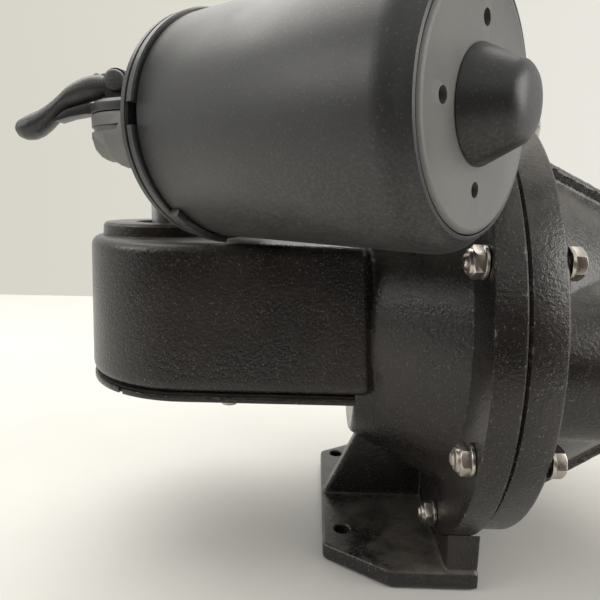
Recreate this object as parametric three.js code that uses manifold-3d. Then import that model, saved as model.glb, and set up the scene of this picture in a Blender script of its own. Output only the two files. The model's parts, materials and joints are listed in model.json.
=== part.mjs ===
// Anchor windlass with a worm-drive motor head, a mitre and planetary gear train,
// a manual crank, a chain gypsy and a warping drum. Millimetres, +Z up.
// The origin is the centre of the foot's underside, and the main shaft runs along +X.
import * as THREE from 'three';
import { mergeVertices } from 'three/addons/utils/BufferGeometryUtils.js';
import Module from 'manifold-3d';

const wasm = await Module();
wasm.setup();

// ---- Clearances and facet counts ----
const GAP = 0.3;
const RUN = 0.45;
const BOLT_ROOM = 0.4;
const FINE = 40;
const MID = 24;
const SMALL = 14;
const ROUND = 12;
const TINY = 8;

// ---- Main axis, flanges and bolts ----
const AXIS_Z = 103;
const FLANGE_R = 100;
const COVER_FLANGE_R = 97;
const FLANGE_X = [20, 31];
const GASKET_X = [31.3, 32.2];
const GASKET_R = [77, 96.4];
const COVER_FLANGE_X = [32.5, 46];
const BOLT_R = 3.1;
const BOLT_CIRCLE_R = 92;
const BOLT_COUNT = 8;
const BOLT_START = 21;
const WASHER_R = 5.9;
const WASHER_T = 1.2;
const NUT_R = 5.9;
const NUT_T = 3.8;
const COLLAR_T = 1.3;
const HEAD_T = 4;
const THREAD_OUT = 7.4;

// ---- Gear case ----
const CASE_CENTRE_X = -92;
const CASE_HALF_W = 52.8;
const CASE_DRAFT = 2;
const CASE_Z = [79.3, 142];
const CASE_WALL = 5;
const BOSS_TOP_Z = 147.5;
const BOSS_R = 27;
const POST_BORE_R = 11.3;
const SHAFT_BORE_R = 15.3;
const TRAIN_ROOM_R = 67.2;
const BELL_X = [-19, 21];
const BELL_HALF_HEIGHT = [58, 78];
const BELL_HALF_WIDTH = [46, 78];

// ---- Bottom cover and its screws ----
const COVER_TOP = CASE_Z[0] - 1.2;
const COVER_PLATE_T = 2.4;
const COVER_LIP = 0.4;
const SCREW_LINE = CASE_HALF_W - 6.5;
const COVER_SCREWS = [
  [-72.5, -SCREW_LINE], [-72.5, SCREW_LINE], [-24.5, -22], [-24.5, 22], [CASE_CENTRE_X - SCREW_LINE, 0],
];

// ---- Foot ----
const FOOT = {
  x: [-31.2, 33.5], half_y: 64, t: 7.7, chamfer_x: 28, chamfer_y: 18,
  hole_x: -22, hole_y: [-34, 43], hole_r: 3.6,
  web_half: 3.5, web_left: [-30.5, 7.7], web_top: [-9.1, 52],
  saddle_half_y: 62, saddle_top: 30,
};

// ---- Output cover ----
const CONE_END_X = 100;
const HUB_END_X = 109;
const HUB_BORE_R = 20;
const BEARING_R = 22;
const CRANK_Y = -60;
const CRANK_Z = -2.4;
const CRANK_BOSS_R = 31.5;
const CRANK_BOSS_END_X = 108;
const CRANK_BUSH_R = 13;
const COVER_RIBS = [30, 150, 210, 270, 330];

// ---- Motor and worm head ----
const POST = new THREE.Vector2(-110.5, 0);
const POST_R = 6;
const MOTOR_AZIMUTH = THREE.MathUtils.degToRad(-39.1);
const MOTOR_Z = 185.7;
const MOTOR_R = 40;
const MOTOR_L = 106;
const REAR_RIM_R = 41.4;
const RIM_T = 7;
const CAP_HOLE_CIRCLE_R = 21.8;
const CAP_HOLE_R = 2.2;
const WORM_TO_POST = 17.2;
const REAR_TO_POST = 57.8;
const WORM_M = 1.5;
const WORM_WHEEL_T = 16;
const WORM_HALF_L = 8;
const WORM_BORE_R = 8;
const NECK_R = 14;
const NECK_END_R = 11;
const NECK_END = 14;
const HEAD_R = 31;
const HEAD_Z = [-8, 9.5];
const LID_T = 5.2;
const LEG = [-38.3, 51.1];
const LEG_R = 10;
const LEG_PAD_R = 15;

// ---- Gear train ----
const GEAR_M = 2;
const SUN_T = 14;
const PLANET_T = 22;
const RING_T = 58;
const CARRIER_T = 48;
const CRANK_T = 12;
const MITRE_T = 17;
const MITRE_R = 17;
const TRAIN_X = [13, 27];
const CARRIER_X = [33.6, 43];
const PLANET_BORE_R = 6.4;
const PLANET_PIN_R = 6;
const PLANET_ANGLES = [0, 1, 2].map((k) => Math.PI / 2 + (2 * k * Math.PI) / 3);
const PLANET_ORBIT = ((SUN_T + PLANET_T) * GEAR_M) / 2;
const MAIN_SHAFT_R = 14;
const NUT_SHAFT_R = 10;
const CRANK_SHAFT_R = 10;

// ---- Gypsy, drum, clutch and lever ----
const GYPSY_X = [114, 152];
const GYPSY_MID = (GYPSY_X[0] + GYPSY_X[1]) / 2;
const GYPSY_R = 44;
const GYPSY_POCKETS = 6;
const DRUM_X = [158, 214];
const DRUM_RECESS_X = 200.6;
const SHAFT_SHOULDER_X = 200;
const SHAFT_END_X = 226;
const CLUTCH_NUT_X = [201.5, 224];
const LUG_X = 218.5;
const LEVER_PIVOT = new THREE.Vector3(-126, -6, 209);
const PIVOT_HOLE_R = 3.1;
const LEVER_ROOM = 0.4;
const KNOB = [-138, -6, 211.6];
// Stations along the handle: X, Z, half height and half width. It swells at its tip and over the pivot.
const LEVER_STATIONS = [
  [-127.5, 208.8, 4.3, 4.8], [-133, 207.8, 4.6, 4.9], [-136.6, 207.6, 5.5, 5.6], [-140.3, 207.3, 5.5, 6.2],
  [-143.6, 206.2, 5.4, 6.6], [-147.4, 204.7, 4.9, 6.8], [-150.7, 203.1, 4.1, 6.8], [-154.2, 200.2, 3.4, 6.6],
  [-157.6, 196.9, 3.9, 6.6], [-161.1, 194, 4.5, 7], [-164.5, 191.7, 5.2, 7.4], [-167.9, 190.3, 5.6, 7.6],
  [-171.2, 189.4, 5.2, 7.2], [-174.1, 189.2, 4.1, 5.6], [-176.2, 189.4, 1.8, 2.4],
];

// ---- Materials: colour, roughness, metalness ----
const FINISH = {
  black_paint: [0x17181a, 0.35, 0.1],
  motor_paint: [0x1b1d20, 0.3, 0.2],
  cap_grey: [0x8f8d88, 0.5, 0.4],
  stainless: [0xb9b7b0, 0.3, 0.9],
  steel: [0x8a8d90, 0.35, 0.9],
  bronze: [0xa4763c, 0.4, 0.8],
  gasket: [0x0c0c0c, 0.9, 0],
  rubber: [0x151515, 0.8, 0],
  copper: [0xa55a34, 0.4, 0.8],
  magnet: [0x3a3a3d, 0.7, 0.2],
  handle_black: [0x202124, 0.45, 0],
};

// ---- Solid helpers ----
const AXIS_TURN = {
  x: (g) => g.rotateX(Math.PI / 2).rotateY(Math.PI / 2),
  y: (g) => g,
  z: (g) => g.rotateX(Math.PI / 2),
};

function asSolid(shape) {
  if (!shape.isBufferGeometry) return shape;
  const bare = shape.clone();
  bare.deleteAttribute('normal');
  bare.deleteAttribute('uv');
  const merged = mergeVertices(bare, 1e-4);
  const pos = merged.attributes.position.array;
  const ids = merged.index.array;
  const kept = [];
  let volume = 0;
  for (let i = 0; i < ids.length; i += 3) {
    const [a, b, c] = [ids[i], ids[i + 1], ids[i + 2]];
    if (a === b || b === c || c === a) continue;
    kept.push([a, b, c]);
    const p = [a, b, c].map((k) => new THREE.Vector3().fromArray(pos, 3 * k));
    volume += p[0].dot(p[1].clone().cross(p[2]));
  }
  const triVerts = new Uint32Array(kept.flatMap((t) => (volume < 0 ? [t[0], t[2], t[1]] : t)));
  return new wasm.Manifold(new wasm.Mesh({ numProp: 3, vertProperties: new Float32Array(pos), triVerts }));
}

const join = (first, ...rest) => rest.reduce((sum, s) => sum.add(asSolid(s)), asSolid(first));
const cut = (first, ...rest) => rest.reduce((sum, s) => sum.subtract(asSolid(s)), asSolid(first));

function asGeometry(shape) {
  const mesh = asSolid(shape).getMesh();
  const g = new THREE.BufferGeometry();
  g.setAttribute('position', new THREE.BufferAttribute(new Float32Array(mesh.vertProperties), 3));
  g.setIndex(new THREE.BufferAttribute(new Uint32Array(mesh.triVerts), 1));
  return g;
}

// A turned body: points are [radius, distance along the axis].
// A profile that starts off the axis is closed into a ring.
function turned(axis, points, segments = MID) {
  const profile = points.map(([r, h]) => new THREE.Vector2(r, h));
  if (points[0][0] > 0) profile.push(profile[0].clone());
  return AXIS_TURN[axis](new THREE.LatheGeometry(profile, segments));
}
const rod = (axis, r, a, b, segments = SMALL) => turned(axis, [[0, a], [r, a], [r, b], [0, b]], segments);
const ring = (axis, r0, r1, a, b, segments = MID) => (
  turned(axis, [[r0, a], [r1, a], [r1, b], [r0, b]], segments)
);
const hexBar = (axis, r, a, b) => rod(axis, r, a, b, 6);

function block([x0, x1], [y0, y1], [z0, z1]) {
  const g = new THREE.BoxGeometry(x1 - x0, y1 - y0, z1 - z0);
  return g.translate((x0 + x1) / 2, (y0 + y1) / 2, (z0 + z1) / 2);
}
function slab(shape, z0, z1, curveSegments = ROUND) {
  const settings = { depth: z1 - z0, bevelEnabled: false, curveSegments };
  return new THREE.ExtrudeGeometry(shape, settings).translate(0, 0, z0);
}
const outline = (points) => new THREE.Shape(points.map(([x, y]) => new THREE.Vector2(x, y)));

// A side view in X and Z, given thickness between two Y values.
function sideSlab(points, [y0, y1]) {
  return slab(outline(points), -y1, -y0).rotateX(Math.PI / 2);
}

// A closed body through rings of points, with flat ends.
function loft(rings) {
  const n = rings[0].length;
  const ids = [];
  for (let k = 0; k + 1 < rings.length; k += 1) {
    for (let i = 0; i < n; i += 1) {
      const [a, b] = [k * n + i, k * n + ((i + 1) % n)];
      ids.push(a, b, b + n, a, b + n, a + n);
    }
  }
  const last = (rings.length - 1) * n;
  for (let i = 1; i + 1 < n; i += 1) {
    ids.push(0, i + 1, i);
    ids.push(last, last + i, last + i + 1);
  }
  const g = new THREE.BufferGeometry();
  g.setAttribute('position', new THREE.Float32BufferAttribute(rings.flat(2), 3));
  g.setIndex(ids);
  return g;
}

const circlePoints = (r, segments) => Array.from({ length: segments }, (_, i) => {
  const a = (2 * Math.PI * i) / segments;
  return new THREE.Vector2(r * Math.cos(a), r * Math.sin(a));
});
const at = (g, x, y, z) => g.translate(x, y, z);
const onMainAxis = (shape) => asGeometry(shape).translate(0, 0, AXIS_Z);
const onCrankAxis = (shape) => asGeometry(shape).translate(0, CRANK_Y, AXIS_Z + CRANK_Z);
const onPost = (shape) => asGeometry(shape).translate(POST.x, POST.y, 0);
const onPivot = (shape) => asGeometry(shape).translate(LEVER_PIVOT.x, LEVER_PIVOT.y, LEVER_PIVOT.z);

// ---- Gear outlines: straight flanks near 20 degrees, with running backlash ----
const ADDENDUM = 0.82;
const DEDENDUM = 1.12;
const ROOT_SHARE = 0.34;
const TIP_SHARE = 0.12;
function toothPoints(teeth, module, phase, inside) {
  const pitch = (teeth * module) / 2;
  const step = (2 * Math.PI) / teeth;
  const root = pitch + (inside ? DEDENDUM : -DEDENDUM) * module;
  const tip = pitch + (inside ? -ADDENDUM : ADDENDUM) * module;
  const tooth = [[root, -ROOT_SHARE], [tip, -TIP_SHARE], [tip, TIP_SHARE], [root, ROOT_SHARE]];
  const points = [];
  for (let i = 0; i < teeth; i += 1) {
    for (const [r, share] of tooth) {
      const a = phase + (i + share) * step;
      points.push([r * Math.cos(a), r * Math.sin(a)]);
    }
  }
  return points;
}
function circleHole(r, segments = SMALL) {
  const path = new THREE.Path();
  path.setFromPoints(circlePoints(r, segments));
  return path;
}
const alongX = (g) => g.rotateZ(Math.PI / 2).rotateY(Math.PI / 2);

// A spur gear about +X. Angle 0 points along +Y and turns towards +Z.
function spurX(teeth, module, phase, [x0, x1], bore) {
  const shape = outline(toothPoints(teeth, module, phase, false));
  if (bore) shape.holes.push(circleHole(bore));
  return alongX(slab(shape, x0, x1));
}

// ---- Scene graph ----
const windlass = new THREE.Group();
function node(name, shape, finish, parent = windlass) {
  const [color, roughness, metalness] = FINISH[finish];
  const material = new THREE.MeshStandardMaterial({ color, roughness, metalness });
  const mesh = new THREE.Mesh(asGeometry(shape), material);
  mesh.name = name;
  parent.add(mesh);
  return mesh;
}

// ---- Gear case casting: case, bell and flange in one piece ----
const boltPlaces = Array.from({ length: BOLT_COUNT }, (_, k) => {
  const a = THREE.MathUtils.degToRad(BOLT_START + (360 * k) / BOLT_COUNT);
  return [BOLT_CIRCLE_R * Math.cos(a), AXIS_Z + BOLT_CIRCLE_R * Math.sin(a)];
});

const boltHoles = (x0, x1) => boltPlaces.map(
  ([y, z]) => at(rod('x', BOLT_R + BOLT_ROOM, x0, x1, TINY), 0, y, z),
);

function roundEndPoints(inset, end, arcSteps = 20) {
  const r = CASE_HALF_W - inset;
  const points = [[end, -r], [end, r]];
  for (let i = 0; i <= arcSteps; i += 1) {
    const a = Math.PI / 2 + (Math.PI * i) / arcSteps;
    points.push([CASE_CENTRE_X + r * Math.cos(a), r * Math.sin(a)]);
  }
  return points;
}

// Case outlines at rising heights, lofted into one drafted body. Levels are [inset, height].
function draftedCase(levels, end) {
  return loft(levels.map(([inset, z]) => roundEndPoints(inset, end).map(([x, y]) => [x, y, z])));
}

// The bell grows from an upright oval at the case to a full round at the flange.
function bell() {
  const cone = loft(BELL_X.map((x, k) => circlePoints(1, FINE).map(
    (p) => [x, BELL_HALF_WIDTH[k] * p.x, BELL_HALF_HEIGHT[k] * p.y],
  )));
  const flange = turned('x', [
    [0, FLANGE_X[0]], [FLANGE_R - 1, FLANGE_X[0]], [FLANGE_R, FLANGE_X[0] + 1],
    [FLANGE_R, FLANGE_X[1] - 1], [FLANGE_R - 1, FLANGE_X[1]], [0, FLANGE_X[1]],
  ], FINE);
  return join(cone, flange);
}

function gearCase() {
  const [z0, z1] = CASE_Z;
  const outer = draftedCase([
    [0, z0], [CASE_DRAFT, z1 - 4], [CASE_DRAFT + 1.2, z1 - 1.2], [CASE_DRAFT + 4, z1],
  ], BELL_X[0] + 7);
  const boss = onPost(turned('z', [
    [0, z1 - 2], [BOSS_R + 1.5, z1 - 2], [BOSS_R, BOSS_TOP_Z - 0.8],
    [BOSS_R - 0.8, BOSS_TOP_Z], [0, BOSS_TOP_Z],
  ]));
  const room = draftedCase([[CASE_WALL, z0 - 1], [CASE_WALL + 1, z1 - CASE_WALL]], BELL_X[0] - 2);
  const shaftBore = onMainAxis(rod('x', SHAFT_BORE_R, BELL_X[0] - 6, TRAIN_X[0] + 2, MID));
  const trainRoom = onMainAxis(rod('x', TRAIN_ROOM_R, TRAIN_X[0] - 1.5, FLANGE_X[1] + 1, FINE));
  const postBore = onPost(rod('z', POST_BORE_R, z1 - CASE_WALL - 1, BOSS_TOP_Z + 1, MID));
  const holes = boltHoles(FLANGE_X[0] - 1, FLANGE_X[1] + 1);
  let body = cut(join(outer, boss, onMainAxis(bell())), room, shaftBore, trainRoom, postBore, ...holes);
  for (const [x, y] of COVER_SCREWS) {
    body = join(body, at(rod('z', 4.5, z0, z0 + 12, TINY), x, y, 0));
    body = cut(body, at(rod('z', 2.3, z0 - 1, z0 + 9, TINY), x, y, 0));
  }
  return body;
}
node('gear_case', gearCase(), 'black_paint');

function coverSheet(inset, z0, z1, holeR) {
  const sheet = slab(outline(roundEndPoints(inset, BELL_X[0] - GAP)), z0, z1);
  return cut(sheet, ...COVER_SCREWS.map(([x, y]) => at(rod('z', holeR, z0 - 1, z1 + 1, TINY), x, y, 0)));
}
node('cover_gasket', cut(
  coverSheet(1.2, COVER_TOP + GAP, CASE_Z[0] - GAP, 2.8),
  slab(outline(roundEndPoints(CASE_WALL + 1, BELL_X[0] - 6)), COVER_TOP - 1, CASE_Z[0] + 1),
), 'gasket');
node('bottom_cover', coverSheet(COVER_LIP, COVER_TOP - COVER_PLATE_T, COVER_TOP, 2.6), 'black_paint');

function coverScrew() {
  const head = COVER_TOP - COVER_PLATE_T - GAP;
  const screw = turned('z', [
    [0, head - 2.2], [2.6, head - 2.2], [4, head - 1], [4, head], [2, head], [2, head + 10], [0, head + 10],
  ], TINY);
  return cut(screw, hexBar('z', 1.6, head - 3, head - 1));
}
COVER_SCREWS.forEach(([x, y], i) => {
  node(`cover_screw_${i + 1}`, at(asGeometry(coverScrew()), x, y, 0), 'stainless');
});

// ---- Foot: chamfered base plate, a web up to the bell and a saddle under the flange ----
function foot() {
  const [x0, x1] = FOOT.x;
  const side = FOOT.half_y - FOOT.chamfer_y;
  const plate = slab(outline([
    [x1, -FOOT.half_y], [x1, FOOT.half_y], [x0 + FOOT.chamfer_x, FOOT.half_y],
    [x0, side], [x0, -side], [x0 + FOOT.chamfer_x, -FOOT.half_y],
  ]), 0, FOOT.t);
  const [leftX, leftZ] = FOOT.web_left;
  const [topX, topZ] = FOOT.web_top;
  const web = sideSlab([
    [leftX, FOOT.t - 1], [FLANGE_X[0] + 1, FOOT.t - 1], [FLANGE_X[0] + 1, topZ], [topX, topZ], [leftX, leftZ],
  ], [-FOOT.web_half, FOOT.web_half]);
  const saddle = block(
    [FLANGE_X[0], x1], [-FOOT.saddle_half_y, FOOT.saddle_half_y], [FOOT.t - 1, FOOT.saddle_top],
  );
  const room = onMainAxis(turned('x', [
    [0, BELL_X[0] - 20], [BELL_HALF_HEIGHT[0] + GAP, BELL_X[0] - 20], [BELL_HALF_HEIGHT[0] + GAP, BELL_X[0]],
    [BELL_HALF_HEIGHT[1] + GAP, FLANGE_X[0] - GAP], [FLANGE_R + GAP, FLANGE_X[0] - GAP],
    [FLANGE_R + GAP, FLANGE_X[1] + 4], [0, FLANGE_X[1] + 4],
  ], FINE));
  const holes = FOOT.hole_y.map((y) => at(rod('z', FOOT.hole_r, -1, FOOT.t + 2, SMALL), FOOT.hole_x, y, 0));
  return cut(join(plate, web, saddle), room, ...holes);
}
node('foot_bracket', foot(), 'black_paint');

// ---- Flange joint ----
node('flange_gasket', cut(
  onMainAxis(ring('x', ...GASKET_R, ...GASKET_X, FINE)),
  ...boltHoles(GASKET_X[0] - 1, GASKET_X[1] + 1),
), 'gasket');

// A rib along the cone, standing on the side that points up before it is turned into place.
function coverRib() {
  const x1 = COVER_FLANGE_X[1];
  const above = turned('x', [
    [90, x1 - 3], [96, x1 - 3], [96, CONE_END_X], [63, CONE_END_X], [89, x1 + 2],
  ]);
  const below = turned('x', [[0, x1 - 4], [82, x1 - 4], [56, CONE_END_X], [0, CONE_END_X]]);
  return cut(block([x1 - 2, CONE_END_X - 2], [-2.5, 2.5], [50, 84]), above, below);
}

function outputCover() {
  const [x0, x1] = COVER_FLANGE_X;
  const shell = onMainAxis(turned('x', [
    [77, x0], [COVER_FLANGE_R - 1, x0], [COVER_FLANGE_R, x0 + 1],
    [COVER_FLANGE_R, x1 - 1.5], [COVER_FLANGE_R - 1.5, x1], [83, x1],
    [57, CONE_END_X], [38, CONE_END_X + 1], [36, HUB_END_X], [HUB_BORE_R, HUB_END_X], [HUB_BORE_R, 103.5],
    [BEARING_R + GAP, 103.5], [BEARING_R + GAP, 52], [30, 52], [30, 88], [51, 88], [73, 50], [75, x0],
  ], FINE));
  const crankBoss = onCrankAxis(rod('x', CRANK_BOSS_R, x1 - 4, CRANK_BOSS_END_X, MID));
  const inner = onMainAxis(turned('x', [
    [30.5, x0 - 1], [75, x0 - 1], [73, 50], [51, 87.5], [30.5, 87.5],
  ], FINE));
  const hubEnd = onMainAxis(rod('x', 32, x0 - 1, 51.9, MID));
  const pocket = onCrankAxis(rod('x', 15.5, x0 - 1, 56));
  const bore = onCrankAxis(rod('x', CRANK_BUSH_R + GAP, 50, CRANK_BOSS_END_X + 4, MID));
  let body = cut(join(shell, crankBoss), inner, hubEnd, pocket, bore);
  for (const degrees of COVER_RIBS) {
    body = join(body, onMainAxis(coverRib().rotate([degrees, 0, 0])));
  }
  return cut(body, ...boltHoles(x0 - 1, x1 + 2));
}
node('output_cover', outputCover(), 'black_paint');

// A bolt through both flanges, with a washer under its head and under its lock nut.
function flangeBolt() {
  const face = FLANGE_X[0] - GAP;
  const back = COVER_FLANGE_X[1] + GAP;
  const hexEnd = face - WASHER_T - NUT_T;
  return join(
    rod('x', BOLT_R, face - THREAD_OUT, back + 1, TINY),
    rod('x', WASHER_R, face - WASHER_T, face, ROUND),
    rod('x', WASHER_R, back, back + WASHER_T, ROUND),
    hexBar('x', NUT_R, hexEnd, face - WASHER_T + 0.2),
    turned('x', [
      [0, hexEnd - COLLAR_T], [4, hexEnd - COLLAR_T], [4.7, hexEnd - 0.5],
      [4.7, hexEnd + 0.5], [0, hexEnd + 0.5],
    ], ROUND),
    hexBar('x', NUT_R, back + WASHER_T - 0.2, back + WASHER_T + HEAD_T),
  );
}
boltPlaces.forEach(([y, z], i) => {
  node(`flange_bolt_${i + 1}`, at(asGeometry(flangeBolt()), 0, y, z), 'stainless');
});

// ---- Motor and worm head, in a frame along the motor's axis from its rear face ----
const motor = new THREE.Group();
const along = new THREE.Vector2(Math.cos(MOTOR_AZIMUTH), Math.sin(MOTOR_AZIMUTH));
const across = new THREE.Vector2(-along.y, along.x);
const rear = POST.clone().addScaledVector(across, -WORM_TO_POST).addScaledVector(along, REAR_TO_POST);
motor.position.set(rear.x, rear.y, MOTOR_Z);
motor.rotation.z = MOTOR_AZIMUTH;
windlass.add(motor);
const inMotorFrame = (shape) => (
  asGeometry(shape).translate(-rear.x, -rear.y, -MOTOR_Z).rotateZ(-MOTOR_AZIMUTH)
);
const onHead = (shape) => asGeometry(shape).translate(-REAR_TO_POST, WORM_TO_POST, 0);

node('motor_tube', turned('x', [
  [MOTOR_R - 3, RIM_T + GAP], [MOTOR_R, RIM_T + GAP], [MOTOR_R, MOTOR_L - 8], [MOTOR_R - 1.2, MOTOR_L - 4],
  [35.2, MOTOR_L - 0.6], [34.2, MOTOR_L - 0.6], [34.2, MOTOR_L - 5], [MOTOR_R - 3, MOTOR_L - 8],
]), 'motor_paint', motor);

function endCap() {
  const disc = turned('x', [
    [0, MOTOR_L - 8], [30, MOTOR_L - 8], [30, MOTOR_L - 4.6], [33.8, MOTOR_L - 4.6], [33.8, MOTOR_L - 0.6],
    [33, MOTOR_L], [31.5, MOTOR_L], [31, MOTOR_L - 0.5], [0, MOTOR_L - 0.5],
  ]);
  const holes = circlePoints(CAP_HOLE_CIRCLE_R, 4).map(
    ({ x, y }) => at(rod('x', CAP_HOLE_R, MOTOR_L - 9, MOTOR_L + 1, TINY), 0, x, y),
  );
  return cut(disc, rod('x', 13.5, MOTOR_L - 9, MOTOR_L + 1, MID), ...holes);
}
node('motor_end_cap', endCap(), 'cap_grey', motor);

node('motor_nose', turned('x', [
  [11, MOTOR_L - 8], [13, MOTOR_L - 8], [13, MOTOR_L - 0.2], [15.7, MOTOR_L - 0.2],
  [10.6, MOTOR_L + 10.2], [9.6, MOTOR_L + 11.5], [8, MOTOR_L + 12.7], [5.5, MOTOR_L + 13.4],
  [0, MOTOR_L + 13.7],
  [0, MOTOR_L + 10], [7.5, MOTOR_L + 9], [11, MOTOR_L + 1],
]), 'motor_paint', motor);

function rearRim() {
  const seam = REAR_RIM_R - 0.5;
  const rim = turned('x', [
    [0, 0], [REAR_RIM_R, 0], [REAR_RIM_R, 2.8], [seam, 3.1], [seam, 3.5], [REAR_RIM_R, 3.8],
    [REAR_RIM_R, RIM_T],
    [MOTOR_R - 3.4, RIM_T], [MOTOR_R - 3.4, RIM_T + 3], [20, RIM_T + 3], [20, 3], [0, 3],
  ]);
  const notch = block([-1, RIM_T + 0.2], [-REAR_RIM_R - 2, -REAR_RIM_R + 4.6], [-2.6, 4.8]);
  return cut(rim, rod('x', 5, -1, RIM_T + 4), notch);
}
node('motor_rear_rim', rearRim(), 'motor_paint', motor);

// A curved bar on the near lower side of the tube, beside the rim.
function tubeBar() {
  const arc = new THREE.Shape();
  const [start, end] = [THREE.MathUtils.degToRad(-42), THREE.MathUtils.degToRad(-8)];
  arc.absarc(0, 0, MOTOR_R + 2.6, start, end, false);
  arc.absarc(0, 0, MOTOR_R + GAP, end, start, true);
  arc.closePath();
  return slab(arc, RIM_T + 1, RIM_T + 5.2, TINY).rotateY(Math.PI / 2);
}
node('rim_key', tubeBar(), 'motor_paint', motor);

function fieldMagnet(side) {
  const arc = new THREE.Shape();
  arc.absarc(0, 0, 36.6, -1.1, 1.1, false);
  arc.absarc(0, 0, 31, 1.1, -1.1, true);
  arc.closePath();
  return slab(arc, 30, 86, TINY).rotateZ((side * Math.PI) / 2 + Math.PI / 2).rotateY(Math.PI / 2);
}
node('field_magnet_upper', fieldMagnet(1), 'magnet', motor);
node('field_magnet_lower', fieldMagnet(-1), 'magnet', motor);
node('motor_front_bearing', ring('x', 4.2, 10.6, MOTOR_L - 6, MOTOR_L - 1), 'steel', motor);
node('motor_rear_bearing', ring('x', 4.2, 12, 3.4, 9), 'steel', motor);
node('brush_rear', block([14, 24], [17, 27], [-4, 4]), 'copper', motor);
node('brush_front', block([14, 24], [-27, -17], [-4, 4]), 'copper', motor);

// A one-start worm: rings of points along X, with a trapezoid thread that winds round them.
// The thread's half width at its root and the width of its flank are shares of the lead.
const WORM_R = WORM_TO_POST - (WORM_M * WORM_WHEEL_T) / 2;
const THREAD_HALF = 0.31;
const THREAD_FLANK = 0.2;
function worm(x0, x1, phaseX) {
  const lead = Math.PI * WORM_M;
  const sides = 12;
  const ringsPerTurn = 10;
  const root = WORM_R - 1.15 * WORM_M;
  const tip = WORM_R + 0.8 * WORM_M;
  const rows = Math.round(((x1 - x0) / lead) * ringsPerTurn);
  const rings = [];
  for (let k = 0; k <= rows; k += 1) {
    const x = x0 + ((x1 - x0) * k) / rows;
    const points = [];
    for (let i = 0; i < sides; i += 1) {
      const a = (2 * Math.PI * i) / sides;
      const turn = (x - phaseX) / lead - i / sides;
      const offCrest = Math.abs(turn - Math.round(turn));
      const rise = THREE.MathUtils.clamp((THREAD_HALF - offCrest) / THREAD_FLANK, 0, 1);
      const r = root + (tip - root) * rise;
      points.push([x, r * Math.cos(a), r * Math.sin(a)]);
    }
    rings.push(points);
  }
  return loft(rings);
}
function armature() {
  const poles = Array.from({ length: 8 }, (_, k) => (
    block([34, 84], [-4.2, 4.2], [0, 29.5]).rotateX((k * Math.PI) / 4)
  ));
  return join(
    rod('x', 4, -REAR_TO_POST - WORM_HALF_L - 3, MOTOR_L - 1.5, SMALL),
    worm(-REAR_TO_POST - WORM_HALF_L, -REAR_TO_POST + WORM_HALF_L, -REAR_TO_POST),
    rod('x', 14, 13, 26, SMALL),
    rod('x', 22, 33, 85, SMALL),
    ...poles,
  );
}
node('armature', armature(), 'steel', motor);

function wormHead() {
  const [low, high] = HEAD_Z;
  const drum = onHead(turned('z', [
    [0, low], [HEAD_R - 11, low], [HEAD_R - 5, low + 2.5], [HEAD_R - 1.5, low + 6.5], [HEAD_R, low + 10],
    [HEAD_R, high], [0, high],
  ]));
  const neck = rod('x', NECK_R, -REAR_TO_POST, -GAP, SMALL);
  const neckEnd = rod('x', NECK_END_R, -REAR_TO_POST - NECK_END, -REAR_TO_POST + 1, SMALL);
  const flange = rod('x', 26, -6, -GAP, MID);
  const leg = at(rod('z', LEG_R, CASE_Z[1] + 2 - MOTOR_Z, high, SMALL), ...LEG, 0);
  const pad = at(rod('z', LEG_PAD_R, CASE_Z[1] + GAP - MOTOR_Z, CASE_Z[1] + 6 - MOTOR_Z, SMALL), ...LEG, 0);
  const centre = new THREE.Vector2(-REAR_TO_POST, WORM_TO_POST);
  const reach = new THREE.Vector2(...LEG).sub(centre).normalize();
  const beside = (p, w) => [p.x - reach.y * w, p.y + reach.x * w];
  const legPoint = new THREE.Vector2(...LEG);
  const arm = slab(outline([
    beside(centre, -17), beside(legPoint, -LEG_R), beside(legPoint, LEG_R), beside(centre, 17),
  ]), low + 3, high);
  const room = onHead(rod('z', 15.5, -5, high + 1, SMALL));
  const wormBore = rod('x', WORM_BORE_R, -REAR_TO_POST - WORM_HALF_L - 3.6, 1, SMALL);
  const postBore = onHead(rod('z', POST_R + 0.4, low - 1, 0));
  const bossRoom = onHead(rod('z', BOSS_R + 2, -60, BOSS_TOP_Z + GAP - MOTOR_Z, MID));
  return cut(join(drum, neck, neckEnd, flange, arm, leg, cut(pad, bossRoom)), room, wormBore, postBore);
}
node('worm_head', wormHead(), 'cap_grey', motor);

function leverHandle(extra) {
  const rings = LEVER_STATIONS.map(([x, z, high, wide], k) => {
    const before = LEVER_STATIONS[Math.max(k - 1, 0)];
    const after = LEVER_STATIONS[Math.min(k + 1, LEVER_STATIONS.length - 1)];
    const up = new THREE.Vector2(after[1] - before[1], before[0] - after[0]).normalize();
    return circlePoints(1, SMALL).map((p) => {
      const rise = (high + extra) * p.x;
      return [x + up.x * rise, LEVER_PIVOT.y + (wide + extra) * p.y, z + up.y * rise];
    });
  });
  return loft(rings);
}

// The lid carries a curved arm on which the lever rests.
function headLid() {
  const low = HEAD_Z[1] + GAP;
  const disc = onHead(turned('z', [
    [0, low], [HEAD_R, low], [HEAD_R, low + 3.7], [HEAD_R - 1.5, low + LID_T], [0, low + LID_T],
  ]));
  const arm = inMotorFrame(sideSlab([
    [-136, 195.6], [-136, 200.4], [-139, 200.4], [-142.5, 199.9], [-146.2, 198.9], [-151, 197.4],
    [-153.4, 196], [-155.5, 194.3], [-157, 192.8], [-156.3, 192.2], [-153.6, 193], [-150, 194.1],
    [-146, 194.8], [-141.9, 195.6],
  ], [LEVER_PIVOT.y - 5, LEVER_PIVOT.y + 5]));
  const neckRoom = join(
    rod('x', NECK_R + GAP, -REAR_TO_POST - GAP, 0, SMALL),
    rod('x', NECK_END_R + GAP, -REAR_TO_POST - NECK_END - GAP, -REAR_TO_POST, SMALL),
  );
  return cut(join(disc, arm), neckRoom, inMotorFrame(leverHandle(LEVER_ROOM)));
}
node('head_lid', headLid(), 'motor_paint', motor);

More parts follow.
